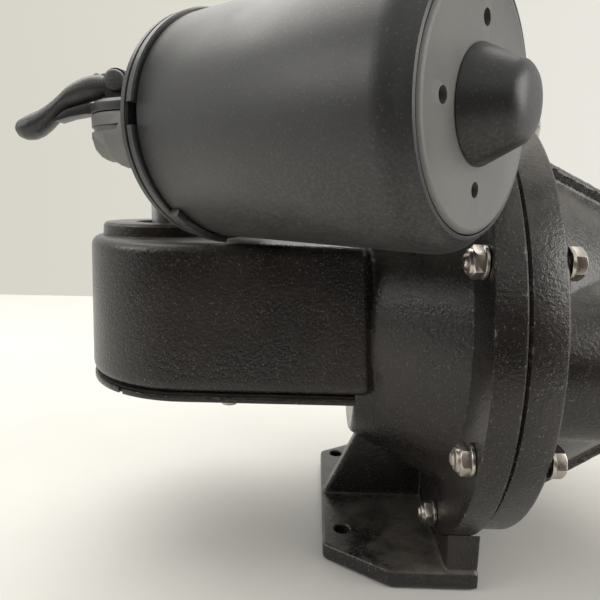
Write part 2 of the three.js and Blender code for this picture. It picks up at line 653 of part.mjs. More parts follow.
// ---- Drive post: worm wheel on top, mitre pinion at its foot ----
function wormWheel() {
  const phase = MOTOR_AZIMUTH - Math.PI / 2 + Math.PI / WORM_WHEEL_T;
  const teeth = outline(toothPoints(WORM_WHEEL_T, WORM_M, phase, false));
  teeth.holes.push(circleHole(POST_R + GAP, SMALL));
  return slab(teeth, MOTOR_Z - 2.6, MOTOR_Z + 2.6);
}
node('worm_wheel', onPost(wormWheel()), 'bronze');
const POST_STEP_Z = AXIS_Z + MITRE_R + 6;
node('drive_post', onPost(turned('z', [
  [0, AXIS_Z + 6], [4.2, AXIS_Z + 6], [4.2, POST_STEP_Z], [POST_R, POST_STEP_Z], [POST_R, MOTOR_Z + 5.5],
  [0, MOTOR_Z + 5.5],
], SMALL)), 'steel');
node('post_bearing', onPost(ring('z', POST_R + GAP, 11, 134, 143)), 'steel');

// A straight mitre gear: its large end is at distance MITRE_R from the apex along +Z.
function mitre(bore) {
  const rings = [1, 0.68].map((k) => (
    toothPoints(MITRE_T, GEAR_M, 0, false).map(([x, y]) => [x * k, y * k, MITRE_R * k])
  ));
  return asGeometry(cut(loft(rings), rod('z', bore, 0, 40, SMALL)));
}
node('mitre_pinion', at(mitre(4.5), POST.x, POST.y, AXIS_Z), 'steel');
node('mitre_gear', at(mitre(6.3).rotateY(Math.PI / 2), POST.x, POST.y, AXIS_Z), 'steel');

// ---- Sun shaft and planetary stage ----
// Each planet is turned so that its teeth fall between the sun's, and the ring's between the planet's.
const PLANET_STEP = (2 * Math.PI) / PLANET_T;
function planetPhase(theta) {
  const toothShare = THREE.MathUtils.euclideanModulo(theta / ((2 * Math.PI) / SUN_T), 1);
  return theta + Math.PI - (0.5 - toothShare) * PLANET_STEP;
}
function ringPhase() {
  const theta = PLANET_ANGLES[0];
  const toothShare = (theta - planetPhase(theta)) / PLANET_STEP;
  return theta - (toothShare - 0.5) * ((2 * Math.PI) / RING_T);
}
node('sun_shaft', onMainAxis(join(
  turned('x', [
    [0, POST.x + 10.5], [6, POST.x + 10.5], [6, -60], [9, -60], [9, TRAIN_X[0] - 5], [8, TRAIN_X[0] - 5],
    [8, TRAIN_X[1] + 2], [0, TRAIN_X[1] + 2],
  ], SMALL),
  spurX(SUN_T, GEAR_M, 0, TRAIN_X, 0),
)), 'steel');
node('sun_bearing', onMainAxis(ring('x', 9.3, 15, -18, -6)), 'steel');
function ringGear() {
  const shape = new THREE.Shape();
  shape.absarc(0, 0, TRAIN_ROOM_R - 1.2, 0, 2 * Math.PI, false);
  const teeth = toothPoints(RING_T, GEAR_M, ringPhase(), true);
  shape.holes.push(new THREE.Path(teeth.map(([x, y]) => new THREE.Vector2(x, y))));
  return alongX(slab(shape, ...TRAIN_X, MID));
}
node('ring_gear', onMainAxis(ringGear()), 'steel');
PLANET_ANGLES.forEach((theta, k) => {
  const width = [TRAIN_X[0] + 0.5, TRAIN_X[1] - 0.5];
  const gear = spurX(PLANET_T, GEAR_M, planetPhase(theta), width, PLANET_BORE_R);
  const place = [0, PLANET_ORBIT * Math.cos(theta), AXIS_Z + PLANET_ORBIT * Math.sin(theta)];
  node(`planet_gear_${k + 1}`, at(gear, ...place), 'steel');
});

// ---- Main shaft with the planet carrier, and the manual crank's pinion on its teeth ----
const CRANK_ANGLE = Math.atan2(CRANK_Z, CRANK_Y);
const pins = PLANET_ANGLES.map((theta) => at(
  rod('x', PLANET_PIN_R, TRAIN_X[0] + 1, CARRIER_X[0], SMALL),
  0, PLANET_ORBIT * Math.cos(theta), PLANET_ORBIT * Math.sin(theta),
));
node('main_shaft', onMainAxis(join(
  spurX(CARRIER_T, GEAR_M, CRANK_ANGLE, CARRIER_X, 0),
  rod('x', 46, TRAIN_X[1] + 4, CARRIER_X[0] + 1, MID),
  turned('x', [
    [0, CARRIER_X[1] - 1], [18, CARRIER_X[1] - 1], [18, 51], [MAIN_SHAFT_R, 51],
    [MAIN_SHAFT_R, SHAFT_SHOULDER_X],
    [NUT_SHAFT_R, SHAFT_SHOULDER_X], [NUT_SHAFT_R, SHAFT_END_X], [0, SHAFT_END_X],
  ], SMALL),
  ...pins,
)), 'steel');
node('main_bearing_inner', onMainAxis(ring('x', MAIN_SHAFT_R + RUN, BEARING_R, 53, 65)), 'steel');
node('main_bearing_outer', onMainAxis(ring('x', MAIN_SHAFT_R + RUN, BEARING_R, 90, 102)), 'steel');
node('shaft_seal', onMainAxis(ring('x', MAIN_SHAFT_R + RUN, HUB_BORE_R - GAP, 104, 108.6)), 'rubber');

const crankPhase = CRANK_ANGLE + Math.PI + Math.PI / CRANK_T;
node('crank_shaft', onCrankAxis(cut(join(
  spurX(CRANK_T, GEAR_M, crankPhase, [CARRIER_X[0] + 0.4, CARRIER_X[1] - 0.4], 0),
  rod('x', 8, CARRIER_X[0], 56, SMALL),
  rod('x', CRANK_SHAFT_R, 55, 107, SMALL),
), hexBar('x', 6.9, 88, 120))), 'steel');
node('crank_bush', onCrankAxis(ring('x', CRANK_SHAFT_R + RUN, CRANK_BUSH_R, 60, 106)), 'bronze');

// ---- Gypsy, clutch, drum and stripper ----
function gypsy() {
  const [x0, x1] = GYPSY_X;
  const wheel = turned('x', [
    [16.5, x0], [GYPSY_R - 1, x0], [GYPSY_R, x0 + 1], [GYPSY_R, x0 + 4], [GYPSY_R - 6, x0 + 10],
    [27, GYPSY_MID - 4],
    [26, GYPSY_MID], [27, GYPSY_MID + 4], [GYPSY_R - 6, x1 - 10], [GYPSY_R, x1 - 4], [GYPSY_R, x1 - 1],
    [GYPSY_R - 1, x1], [16.5, x1],
  ]);
  const pockets = Array.from({ length: GYPSY_POCKETS }, (_, k) => (
    block([GYPSY_MID - 10.5, GYPSY_MID + 10.5], [-12, 12], [29, 60])
      .rotateX((2 * k * Math.PI) / GYPSY_POCKETS)
  ));
  return cut(wheel, ...pockets);
}
node('chain_gypsy', onMainAxis(gypsy()), 'stainless');
node('gypsy_bush', onMainAxis(ring('x', MAIN_SHAFT_R + RUN, 16.2, GYPSY_X[0] + 1, GYPSY_X[1] - 1)), 'bronze');

const CLUTCH_X = [GYPSY_X[1] + 1, GYPSY_X[1] + 5];
node('clutch_cone', onMainAxis(turned('x', [
  [MAIN_SHAFT_R + GAP, CLUTCH_X[0]], [30, CLUTCH_X[0]], [34, CLUTCH_X[1]], [MAIN_SHAFT_R + GAP, CLUTCH_X[1]],
])), 'stainless');

function warpingDrum() {
  const [x0, x1] = DRUM_X;
  const steps = 8;
  const waist = Array.from({ length: steps + 1 }, (_, i) => {
    const u = i / steps;
    return [29 + 12 * Math.abs(2 * u - 1) ** 2.2, x0 + 4 + (x1 - x0 - 8) * u];
  });
  return turned('x', [
    [MAIN_SHAFT_R + GAP, x0], [42, x0], [43, x0 + 1], [43, x0 + 3],
    ...waist, [43, x1 - 3], [43, x1 - 1], [42, x1],
    [24, x1], [24, DRUM_RECESS_X], [MAIN_SHAFT_R + GAP, DRUM_RECESS_X],
  ]);
}
node('warping_drum', onMainAxis(warpingDrum()), 'stainless');

function clutchNut() {
  const [x0, x1] = CLUTCH_NUT_X;
  const hub = turned('x', [
    [NUT_SHAFT_R + GAP, x0], [20, x0], [20, x1 - 2], [18, x1], [NUT_SHAFT_R + GAP, x1],
  ]);
  const lugs = [0, 1, 2].map(
    (k) => at(rod('z', 3.6, 15, 34, SMALL), LUG_X, 0, 0).rotateX((2 * k * Math.PI) / 3),
  );
  return join(hub, ...lugs);
}
node('clutch_nut', onMainAxis(clutchNut()), 'stainless');
node('chain_stripper', join(
  block([HUB_END_X + GAP, 113.4], [-8, 8], [AXIS_Z - 62, AXIS_Z - 23]),
  block([110, GYPSY_MID + 3], [-8, 8], [AXIS_Z - 62, AXIS_Z - 54]),
  block([GYPSY_MID - 3, GYPSY_MID + 3], [-5, 5], [AXIS_Z - 58, AXIS_Z - 31]),
), 'stainless');

// ---- Release lever on the worm head ----
function lever() {
  const hub = onPivot(rod('y', 6, -5, 5, SMALL));
  const knob = at(turned('y', [
    [0, 0], [2.5, 0], [2.5, 10], [4.6, 11], [4.8, 13], [4, 15.5], [2.4, 17], [0, 17.4],
  ], SMALL), ...KNOB);
  return cut(join(leverHandle(0), hub, knob), onPivot(rod('y', PIVOT_HOLE_R, -10, 10, TINY)));
}
node('release_lever', lever(), 'handle_black');

function leverBracket() {
  const seat = MOTOR_Z + HEAD_Z[1] + LID_T + 2 * GAP;
  const [near, far] = [LEVER_PIVOT.y - 9.5, LEVER_PIVOT.y + 9.5];
  const [cheekX, cheekZ] = [[LEVER_PIVOT.x - 5, LEVER_PIVOT.x + 6], [seat, LEVER_PIVOT.z + 5.5]];
  return cut(join(
    block([LEVER_PIVOT.x - 6.5, LEVER_PIVOT.x + 22], [near, far], [seat, seat + 1.3]),
    block(cheekX, [near, near + 3.8], cheekZ),
    block(cheekX, [far - 3.8, far], cheekZ),
  ), onPivot(rod('y', PIVOT_HOLE_R, -14, 14, TINY)));
}
node('lever_bracket', leverBracket(), 'motor_paint');
node('lever_pin', onPivot(turned('y', [
  [0, -12.6], [3.8, -12.6], [4.6, -11.6], [4.6, -9.9], [2.8, -9.9], [2.8, 9.9], [4.6, 9.9], [4.6, 11.6],
  [3.8, 12.6], [0, 12.6],
], TINY)), 'handle_black');

export default windlass;
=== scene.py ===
"""Anchor windlass: the finished look of every piece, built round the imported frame.
Sizes are in millimetres and are turned into metres where a mesh is made."""
import json
import math

import bmesh
import bpy
from mathutils import Matrix, Vector


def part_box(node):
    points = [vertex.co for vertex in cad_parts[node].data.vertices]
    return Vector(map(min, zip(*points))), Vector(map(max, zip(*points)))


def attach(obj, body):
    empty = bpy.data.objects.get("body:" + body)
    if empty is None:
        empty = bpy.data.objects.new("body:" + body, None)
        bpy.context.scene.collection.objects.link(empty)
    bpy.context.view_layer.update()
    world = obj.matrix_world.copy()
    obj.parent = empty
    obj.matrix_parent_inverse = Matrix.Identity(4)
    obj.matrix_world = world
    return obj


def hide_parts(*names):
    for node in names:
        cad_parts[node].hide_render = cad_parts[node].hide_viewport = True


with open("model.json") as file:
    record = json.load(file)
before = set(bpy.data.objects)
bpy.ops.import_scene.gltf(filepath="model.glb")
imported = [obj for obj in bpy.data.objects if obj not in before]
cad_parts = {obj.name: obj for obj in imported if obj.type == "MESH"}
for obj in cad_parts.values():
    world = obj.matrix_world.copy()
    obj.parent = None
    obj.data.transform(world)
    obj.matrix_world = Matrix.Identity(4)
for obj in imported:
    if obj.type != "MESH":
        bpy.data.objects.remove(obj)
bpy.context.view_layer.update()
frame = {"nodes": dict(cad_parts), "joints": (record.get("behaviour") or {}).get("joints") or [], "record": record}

MM = 0.001
JOINTS = {joint["name"]: joint for joint in frame["joints"]}


def span(node):
    """The lowest and highest corner of a frame node, in millimetres."""
    low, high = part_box(node)
    return low / MM, high / MM


# ---- Driving places, read from the frame ----
AXIS_Z = JOINTS["main_spin"]["pos_m"][2] / MM
COVER_LOW, COVER_HIGH = span("bottom_cover")
COVER_LIP = 0.4
CASE_R = COVER_HIGH.y + COVER_LIP
CASE_X = COVER_LOW.x + COVER_HIGH.y
CASE_FLOOR = COVER_HIGH.z + 1.2
CASE_TOP = 142
CASE_LEAN = 2
CASE_OVERLAP = 7
BELL_START = COVER_HIGH.x + 0.3
BELL_HEIGHTS = (58, 78)
BELL_FIRST_WIDTH = 46
POST = Vector(JOINTS["post_spin"]["pos_m"]) / MM
BOSS_TOP = 147.5
BOSS_R = 27
FLANGE_R = span("gear_case")[1].y
FLANGE_END = span("gear_case")[1].x
FLANGE_START = FLANGE_END - 11
COVER_FLANGE_START = span("output_cover")[0].x
COVER_FLANGE_R = 97
COVER_FLANGE_END = COVER_FLANGE_START + 13.5
CONE_END = 100
CRANK = Vector(JOINTS["crank_spin"]["pos_m"]) / MM

MOTOR_REAR = Vector(JOINTS["motor_spin"]["pos_m"])
MOTOR_AXIS = Vector(JOINTS["motor_spin"]["axis"])
MOTOR_R = 40
MOTOR_L = 106
RIM_R = 41.4
RIM_T = 7
HEAD_R = 31
HEAD_LOW = -8
HEAD_HIGH = 9.5
LEVER_PIVOT = Vector(JOINTS["lever_swing"]["pos_m"]) / MM
REAR_TO_POST = 57.8
NECK_END = REAR_TO_POST + 14

# ---- Frames in which pieces are modelled: local Z is the turning axis ----
UPRIGHT = Matrix.Identity(4)
Z_TO_X = Matrix.Rotation(math.pi / 2, 4, "Y")
Z_TO_Y = Matrix.Rotation(-math.pi / 2, 4, "X")
ON_SHAFT = Matrix.Translation((0, 0, AXIS_Z * MM)) @ Z_TO_X
ON_CRANK = Matrix.Translation((0, CRANK.y * MM, CRANK.z * MM)) @ Z_TO_X
ON_POST = Matrix.Translation((POST.x * MM, POST.y * MM, 0))
MOTOR_TURN = Matrix.Rotation(math.atan2(MOTOR_AXIS.y, MOTOR_AXIS.x), 4, "Z")
MOTOR_FRAME = Matrix.Translation(MOTOR_REAR) @ MOTOR_TURN
ON_MOTOR = MOTOR_FRAME @ Z_TO_X
ON_PIVOT = Matrix.Translation(LEVER_PIVOT * MM) @ Z_TO_Y
HEAD_FRAME = Matrix.Translation((POST.x * MM, POST.y * MM, MOTOR_REAR.z)) @ MOTOR_TURN


# ---- Workshop helpers ----
def select_only(obj):
    if bpy.context.mode != "OBJECT":
        bpy.ops.object.mode_set(mode="OBJECT")
    bpy.ops.object.select_all(action="DESELECT")
    obj.select_set(True)
    bpy.context.view_layer.objects.active = obj


def deselect():
    if bpy.context.mode != "OBJECT":
        bpy.ops.object.mode_set(mode="OBJECT")
    bpy.ops.object.select_all(action="DESELECT")


def named(name):
    obj = bpy.context.object
    obj.name = name
    obj.data.name = name
    return obj


def place(obj, matrix):
    """Moves a piece to its place and writes the place into its mesh."""
    obj.matrix_world = matrix
    select_only(obj)
    bpy.ops.object.transform_apply(location=True, rotation=True, scale=True)
    return obj


def modify(obj, kind, **settings):
    select_only(obj)
    modifier = obj.modifiers.new(kind.lower(), kind)
    for key, value in settings.items():
        setattr(modifier, key, value)
    bpy.ops.object.modifier_apply(modifier=modifier.name)
    return obj


def combine(obj, operation, *tools):
    for tool in tools:
        modify(obj, "BOOLEAN", operation=operation, solver="MANIFOLD", object=tool)
        bpy.data.objects.remove(tool)
    return obj


def join(obj, *others):
    return combine(obj, "UNION", *others)


def cut(obj, *tools):
    return combine(obj, "DIFFERENCE", *tools)


def round_edges(obj, width, segments=2, angle=30):
    return modify(obj, "BEVEL", width=width * MM, segments=segments, limit_method="ANGLE",
                  angle_limit=math.radians(angle), harden_normals=False)


def as_casting(obj, grain, softness, keep):
    """Melts sharp joins into the soft corners that a mould leaves."""
    modify(obj, "REMESH", mode="VOXEL", voxel_size=grain * MM)
    modify(obj, "SMOOTH", factor=0.5, iterations=softness)
    return modify(obj, "DECIMATE", ratio=keep)


def turned(name, outline, matrix=UPRIGHT, steps=96):
    """A body turned about local Z from (radius, height) points; off the axis it is a closed ring."""
    points = [Vector((r * MM, 0, h * MM)) for r, h in outline]
    if outline[0][0] > 0:
        points.append(points[0])
    deselect()
    bpy.ops.mesh.primitive_plane_add(size=MM)
    obj = named(name)
    bpy.ops.object.mode_set(mode="EDIT")
    bpy.ops.mesh.merge(type="CENTER")
    bpy.ops.transform.translate(value=points[0])
    for start, end in zip(points, points[1:]):
        bpy.ops.mesh.extrude_vertices_move(TRANSFORM_OT_translate={"value": end - start})
    bpy.ops.mesh.select_all(action="SELECT")
    bpy.ops.mesh.spin(steps=steps, angle=2 * math.pi, center=(0, 0, 0), axis=(0, 0, 1))
    bpy.ops.mesh.select_all(action="SELECT")
    bpy.ops.mesh.remove_doubles(threshold=1e-6)
    bpy.ops.mesh.normals_make_consistent(inside=False)
    return place(obj, matrix)


def rod(name, radius, low, high, matrix=UPRIGHT, sides=64, at=(0, 0)):
    deselect()
    middle = (at[0] * MM, at[1] * MM, (low + high) / 2 * MM)
    bpy.ops.mesh.primitive_cylinder_add(vertices=sides, radius=radius * MM, depth=(high - low) * MM)
    return place(named(name), matrix @ Matrix.Translation(middle))


def block(name, x, y, z, matrix=UPRIGHT):
    deselect()
    middle = Matrix.Translation(Vector((sum(x), sum(y), sum(z))) / 2 * MM)
    size = Matrix.Diagonal(Vector((x[1] - x[0], y[1] - y[0], z[1] - z[0], 1 / MM)) * MM)
    bpy.ops.mesh.primitive_cube_add(size=1)
    return place(named(name), matrix @ middle @ size)


def pick(obj, kind, wanted):
    """Selects the faces or vertices that pass a test."""
    bpy.ops.mesh.select_mode(type="FACE" if kind == "faces" else "VERT")
    bpy.ops.mesh.select_all(action="DESELECT")
    mesh = bmesh.from_edit_mesh(obj.data)
    for item in getattr(mesh, kind):
        item.select = wanted(item)
    mesh.select_flush_mode()
    bmesh.update_edit_mesh(obj.data)


def copied(obj, name):
    twin = obj.copy()
    twin.data = obj.data.copy()
    twin.name = name
    twin.data.name = name
    bpy.context.scene.collection.objects.link(twin)
    return twin


def around(radius, start, stop, count):
    """Points on an arc in degrees, as (across, up) pairs."""
    angles = [math.radians(start + (stop - start) * i / (count - 1)) for i in range(count)]
    return [(radius * math.cos(a), radius * math.sin(a)) for a in angles]


# ---- Shader groups shared by the finishes ----
class Board:
    """A node tree with a short way to add and wire nodes."""

    def __init__(self, tree):
        self.tree = tree

    def add(self, kind, wires=None, **settings):
        node = self.tree.nodes.new("ShaderNode" + kind)
        for key, value in settings.items():
            setattr(node, key, value)
        for key, value in (wires or {}).items():
            if isinstance(value, bpy.types.NodeSocket):
                self.tree.links.new(value, node.inputs[key])
            else:
                node.inputs[key].default_value = value
        return node

    def math(self, operation, first, second=0.5):
        return self.add("Math", {0: first, 1: second}, operation=operation).outputs[0]

    def ramp(self, value, low, high, out_low=0.0, out_high=1.0):
        wires = {"Value": value, "From Min": low, "From Max": high, "To Min": out_low, "To Max": out_high}
        return self.add("MapRange", wires).outputs[0]

    def mix(self, share, first, second):
        node = self.add("Mix", {0: share}, data_type="RGBA")
        for index, value in ((6, first), (7, second)):
            if isinstance(value, bpy.types.NodeSocket):
                self.tree.links.new(value, node.inputs[index])
            else:
                node.inputs[index].default_value = value
        return node.outputs[2]


def new_group(name, inputs, outputs):
    tree = bpy.data.node_groups.new(name, "ShaderNodeTree")
    for label, value in inputs.items():
        socket = tree.interface.new_socket(label, in_out="INPUT", socket_type="NodeSocketFloat")
        socket.default_value = value
    for label in outputs:
        tree.interface.new_socket(label, in_out="OUTPUT", socket_type="NodeSocketFloat")
    board = Board(tree)
    return board, tree.nodes.new("NodeGroupInput"), tree.nodes.new("NodeGroupOutput")


def grain_group():
    """Cast or sprayed skin: a height for bumps, broad blotches and fine light specks that are painted glints of
    the grain.
    """
    board, given, made = new_group("skin_grain", {"Coarse": 900, "Fine": 2600, "Blotch": 22, "Speck": 1500},
                                   ["Height", "Blotches", "Specks"])
    where = board.add("TexCoord").outputs["Object"]
    coarse = board.add("TexNoise", {"Vector": where, "Scale": given.outputs["Coarse"], "Detail": 2.0})
    fine = board.add("TexNoise", {"Vector": where, "Scale": given.outputs["Fine"], "Detail": 1.0})
    blotch = board.add("TexNoise", {"Vector": where, "Scale": given.outputs["Blotch"], "Detail": 4.0,
                                    "Roughness": 0.6})
    speck = board.add("TexNoise", {"Vector": where, "Scale": given.outputs["Speck"], "Detail": 0.0})
    height = board.math("ADD", board.math("MULTIPLY", coarse.outputs["Fac"], 0.7),
                        board.math("MULTIPLY", fine.outputs["Fac"], 0.3))
    board.tree.links.new(height, made.inputs["Height"])
    board.tree.links.new(board.ramp(blotch.outputs["Fac"], 0.36, 0.66), made.inputs["Blotches"])
    board.tree.links.new(board.ramp(speck.outputs["Fac"], 0.7, 0.78), made.inputs["Specks"])
    return board.tree


def wear_group():
    """Paint rubbed off along edges, broken up by noise."""
    board, given, made = new_group("edge_wear", {"Radius": 0.001, "Amount": 0.5, "Break": 260}, ["Mask"])
    geometry = board.add("NewGeometry")
    softened = board.add("Bevel", {"Radius": given.outputs["Radius"]}, samples=4)
    match = board.add("VectorMath", {0: softened.outputs["Normal"], 1: geometry.outputs["Normal"]},
                      operation="DOT_PRODUCT").outputs["Value"]
    edge = board.ramp(board.math("SUBTRACT", 1.0, match), 0.01, 0.14)
    where = board.add("TexCoord").outputs["Object"]
    noise = board.add("TexNoise", {"Vector": where, "Scale": given.outputs["Break"], "Detail": 5.0,
                                   "Roughness": 0.65}).outputs["Fac"]
    limit = board.ramp(given.outputs["Amount"], 0.0, 1.0, 0.85, 0.3)
    broken = board.ramp(board.math("SUBTRACT", noise, limit), 0.0, 0.08)
    board.tree.links.new(board.math("MULTIPLY", edge, broken), made.inputs["Mask"])
    return board.tree


def dust_group():
    """Dust on faces that look up, and grime specks on faces that look down."""
    board, given, made = new_group("dust", {"Up": 0.5, "Down": 0.0, "Speckle": 1100}, ["Mask"])
    normal = board.add("NewGeometry").outputs["Normal"]
    height = board.add("SeparateXYZ", {"Vector": normal}).outputs["Z"]
    where = board.add("TexCoord").outputs["Object"]
    cloud = board.add("TexNoise", {"Vector": where, "Scale": 45.0, "Detail": 5.0, "Roughness": 0.7})
    speckle = board.add("TexNoise", {"Vector": where, "Scale": given.outputs["Speckle"], "Detail": 2.0})
    above = board.math("MULTIPLY", board.ramp(height, 0.2, 1.0), given.outputs["Up"])
    above = board.math("MULTIPLY", above, board.ramp(cloud.outputs["Fac"], 0.35, 0.7))
    below = board.math("MULTIPLY", board.ramp(height, -0.1, -0.85), given.outputs["Down"])
    below = board.math("MULTIPLY", below, board.ramp(speckle.outputs["Fac"], 0.42, 0.68))
    board.tree.links.new(board.math("ADD", above, below), made.inputs["Mask"])
    return board.tree


def lines_group():
    """Fine tool lines round a turned part, or along a drawn one."""
    board, given, made = new_group("tool_lines", {"Along": 2400, "Across": 12}, ["Height", "Streaks"])
    where = board.add("TexCoord").outputs["Object"]
    size = board.add("CombineXYZ", {"X": given.outputs["Along"], "Y": given.outputs["Across"],
                                    "Z": given.outputs["Across"]})
    drawn = board.add("VectorMath", {0: where, 1: size.outputs["Vector"]}, operation="MULTIPLY")
    lines = board.add("TexNoise", {"Vector": drawn.outputs["Vector"], "Scale": 1.0, "Detail": 3.0})
    stain = board.add("TexNoise", {"Vector": where, "Scale": 130.0, "Detail": 4.0, "Roughness": 0.7})
    board.tree.links.new(lines.outputs["Fac"], made.inputs["Height"])
    board.tree.links.new(board.ramp(stain.outputs["Fac"], 0.4, 0.7), made.inputs["Streaks"])
    return board.tree


GRAIN = grain_group()
WEAR = wear_group()
DUST = dust_group()
LINES = lines_group()


def grouped(board, tree, **values):
    node = board.tree.nodes.new("ShaderNodeGroup")
    node.node_tree = tree
    for label, value in values.items():
        node.inputs[label.capitalize()].default_value = value
    return node


def new_material(name):
    material = bpy.data.materials.new(name)
    material.use_nodes = True
    board = Board(material.node_tree)
    return material, board, material.node_tree.nodes["Principled BSDF"]


def finish_paint(name, base, tint, rough, grain, bump, wear, dust, bare_metal_and_glint=(0.42, 0.39, 0.35, 1),
                 dusty=(0.32, 0.3, 0.26, 1), speck=0.25, coat=0.0):
    """Paint over metal. grain, wear and dust hold the values for their shader groups."""
    material, board, shader = new_material(name)
    skin = grouped(board, GRAIN, **grain)
    rubbed = grouped(board, WEAR, **wear).outputs["Mask"]
    settled = grouped(board, DUST, **dust).outputs["Mask"]
    colour = board.mix(skin.outputs["Blotches"], base, tint)
    # Painted glints: the light specks stand in for the grain catching highlights; the edge mask below is real wear
    # to bare metal.
    colour = board.mix(board.math("MULTIPLY", skin.outputs["Specks"], speck), colour, bare_metal_and_glint)
    colour = board.mix(rubbed, colour, bare_metal_and_glint)
    colour = board.mix(settled, colour, dusty)
    roughness = board.ramp(skin.outputs["Blotches"], 0, 1, rough, rough + 0.12)
    roughness = board.math("ADD", roughness, board.math("MULTIPLY", rubbed, 0.2))
    roughness = board.math("ADD", roughness, board.math("MULTIPLY", settled, 0.4))
    height = board.math("SUBTRACT", skin.outputs["Height"], board.math("MULTIPLY", rubbed, 0.5))
    relief = board.add("Bump", {"Height": height, "Strength": bump, "Distance": 0.0004})
    board.tree.links.new(colour, shader.inputs["Base Color"])
    board.tree.links.new(roughness, shader.inputs["Roughness"])
    board.tree.links.new(board.math("MULTIPLY", rubbed, 0.7), shader.inputs["Metallic"])
    board.tree.links.new(relief.outputs["Normal"], shader.inputs["Normal"])
    shader.inputs["Coat Weight"].default_value = coat
    shader.inputs["Coat Roughness"].default_value = 0.12
    return material


def finish_metal(name, base, stain, rough, lines, bump=0.12, metallic=1.0):
    """Bare metal with tool lines and stains."""
    material, board, shader = new_material(name)
    tool = grouped(board, LINES, **lines)
    rubbed = grouped(board, WEAR, radius=0.0006, amount=0.8).outputs["Mask"]
    colour = board.mix(board.math("MULTIPLY", tool.outputs["Streaks"], 0.6), base, stain)
    colour = board.mix(board.math("MULTIPLY", rubbed, 0.4), colour, (0.8, 0.78, 0.74, 1))
    roughness = board.ramp(tool.outputs["Streaks"], 0, 1, rough, rough + 0.18)
    relief = board.add("Bump", {"Height": tool.outputs["Height"], "Strength": bump, "Distance": 0.0002})
    board.tree.links.new(colour, shader.inputs["Base Color"])
    board.tree.links.new(roughness, shader.inputs["Roughness"])
    board.tree.links.new(relief.outputs["Normal"], shader.inputs["Normal"])
    shader.inputs["Metallic"].default_value = metallic
    return material


FINISHES = {
    # Gloss black: the brownish tint that the blotches mix in is a painted reflection of the dim brown near side.
    "black_paint": finish_paint(
        "gloss_black_casting", (0.012, 0.0115, 0.0115, 1), (0.024, 0.019, 0.0175, 1), 0.2,
        {"coarse": 700, "fine": 2100}, 0.75, {"radius": 0.0012, "amount": 0.5},
        {"up": 0.35, "down": 0.05}, speck=0.2),
    "motor_paint": finish_paint(
        "satin_black_motor", (0.021, 0.022, 0.024, 1), (0.028, 0.029, 0.031, 1), 0.33,
        {"coarse": 1500, "fine": 3600}, 0.12, {"radius": 0.0008, "amount": 0.35},
        {"up": 0.12, "down": 0.16}, speck=0.08),
    # The grey is partly a painted reflection: the satin black paint of the end plate is lightened to stand in for
    # the bright wall it mirrors.
    "cap_grey": finish_paint(
        "matt_end_plate", (0.11, 0.11, 0.107, 1), (0.15, 0.148, 0.142, 1), 0.42,
        {"coarse": 1200, "fine": 3200}, 0.14, {"radius": 0.0008, "amount": 0.4},
        {"up": 0.2, "down": 0.12}, speck=0.1),
    "handle_black": finish_paint(
        "lever_paint", (0.04, 0.041, 0.042, 1), (0.06, 0.06, 0.06, 1), 0.34,
        {"coarse": 900, "fine": 2600}, 0.35, {"radius": 0.0014, "amount": 0.55},
        {"up": 0.25, "down": 0.05}),
    "stainless": finish_metal("stainless", (0.6, 0.56, 0.51, 1), (0.34, 0.28, 0.22, 1), 0.24,
                              {"along": 2600, "across": 30}),
    "steel": finish_metal("machined_steel", (0.42, 0.42, 0.43, 1), (0.24, 0.23, 0.22, 1), 0.3,
                          {"along": 3200, "across": 14}),
    "bronze": finish_metal("bearing_bronze", (0.55, 0.36, 0.15, 1), (0.3, 0.19, 0.09, 1), 0.34,
                           {"along": 2600, "across": 20}),
    "copper": finish_metal("copper_graphite", (0.42, 0.21, 0.13, 1), (0.2, 0.11, 0.08, 1), 0.45,
                           {"along": 1800, "across": 400}),
    "magnet": finish_paint("ferrite", (0.05, 0.05, 0.054, 1), (0.08, 0.078, 0.078, 1), 0.6,
                           {"coarse": 1300, "fine": 4200}, 0.4, {"radius": 0.001, "amount": 0.4},
                           {"up": 0.1}),
    "gasket": finish_paint("sealing_sheet", (0.006, 0.006, 0.006, 1), (0.012, 0.012, 0.011, 1), 0.75,
                           {"coarse": 2400, "fine": 5200}, 0.4, {"radius": 0.0005, "amount": 0.0},
                           {"up": 0.2}, speck=0.0),
    "rubber": finish_paint("seal_rubber", (0.012, 0.012, 0.012, 1), (0.02, 0.02, 0.02, 1), 0.62,
                           {"coarse": 2000, "fine": 5000}, 0.25, {"radius": 0.0005, "amount": 0.0},
                           {"up": 0.2}, speck=0.0),
}


def finished(obj, slot, body, *nodes, angle=35):
    """Gives a piece its finish, its body and the frame nodes that it stands for."""
    select_only(obj)
    bpy.ops.object.shade_smooth_by_angle(angle=math.radians(angle))
    obj.data.materials.clear()
    obj.data.materials.append(FINISHES[slot])
    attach(obj, body)
    if nodes:
        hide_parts(*nodes)
    return obj


# ---- Camera, light and floor ----
def make_camera():
    yaw, pitch, roll = math.radians(-1.3), math.radians(11.0), math.radians(0.9)
    forward = Vector((math.sin(yaw) * math.cos(pitch), math.cos(yaw) * math.cos(pitch), -math.sin(pitch)))
    level = Vector((math.cos(yaw), -math.sin(yaw), 0))
    upward = level.cross(forward)
    right = math.cos(roll) * level + math.sin(roll) * upward
    top = math.cos(roll) * upward - math.sin(roll) * level
    data = bpy.data.cameras.new("view")
    data.lens = 33.6
    data.sensor_width = 36
    data.clip_start = 0.01
    camera = bpy.data.objects.new("view", data)
    bpy.context.scene.collection.objects.link(camera)
    turn = Matrix((right, top, -forward)).transposed().to_4x4()
    camera.matrix_world = Matrix.Translation((-0.038, -0.2723, 0.1629)) @ turn
    bpy.context.scene.camera = camera


def make_lamp(name, spot, aim, size, power, tint=(1, 0.98, 0.94)):
    data = bpy.data.lights.new(name, "AREA")
    data.shape = "RECTANGLE"
    data.size, data.size_y = size
    data.energy = power
    data.color = tint
    lamp = bpy.data.objects.new(name, data)
    bpy.context.scene.collection.objects.link(lamp)
    lamp.location = spot
    lamp.rotation_euler = (Vector(aim) - Vector(spot)).to_track_quat("-Z", "Y").to_euler()
    return lamp


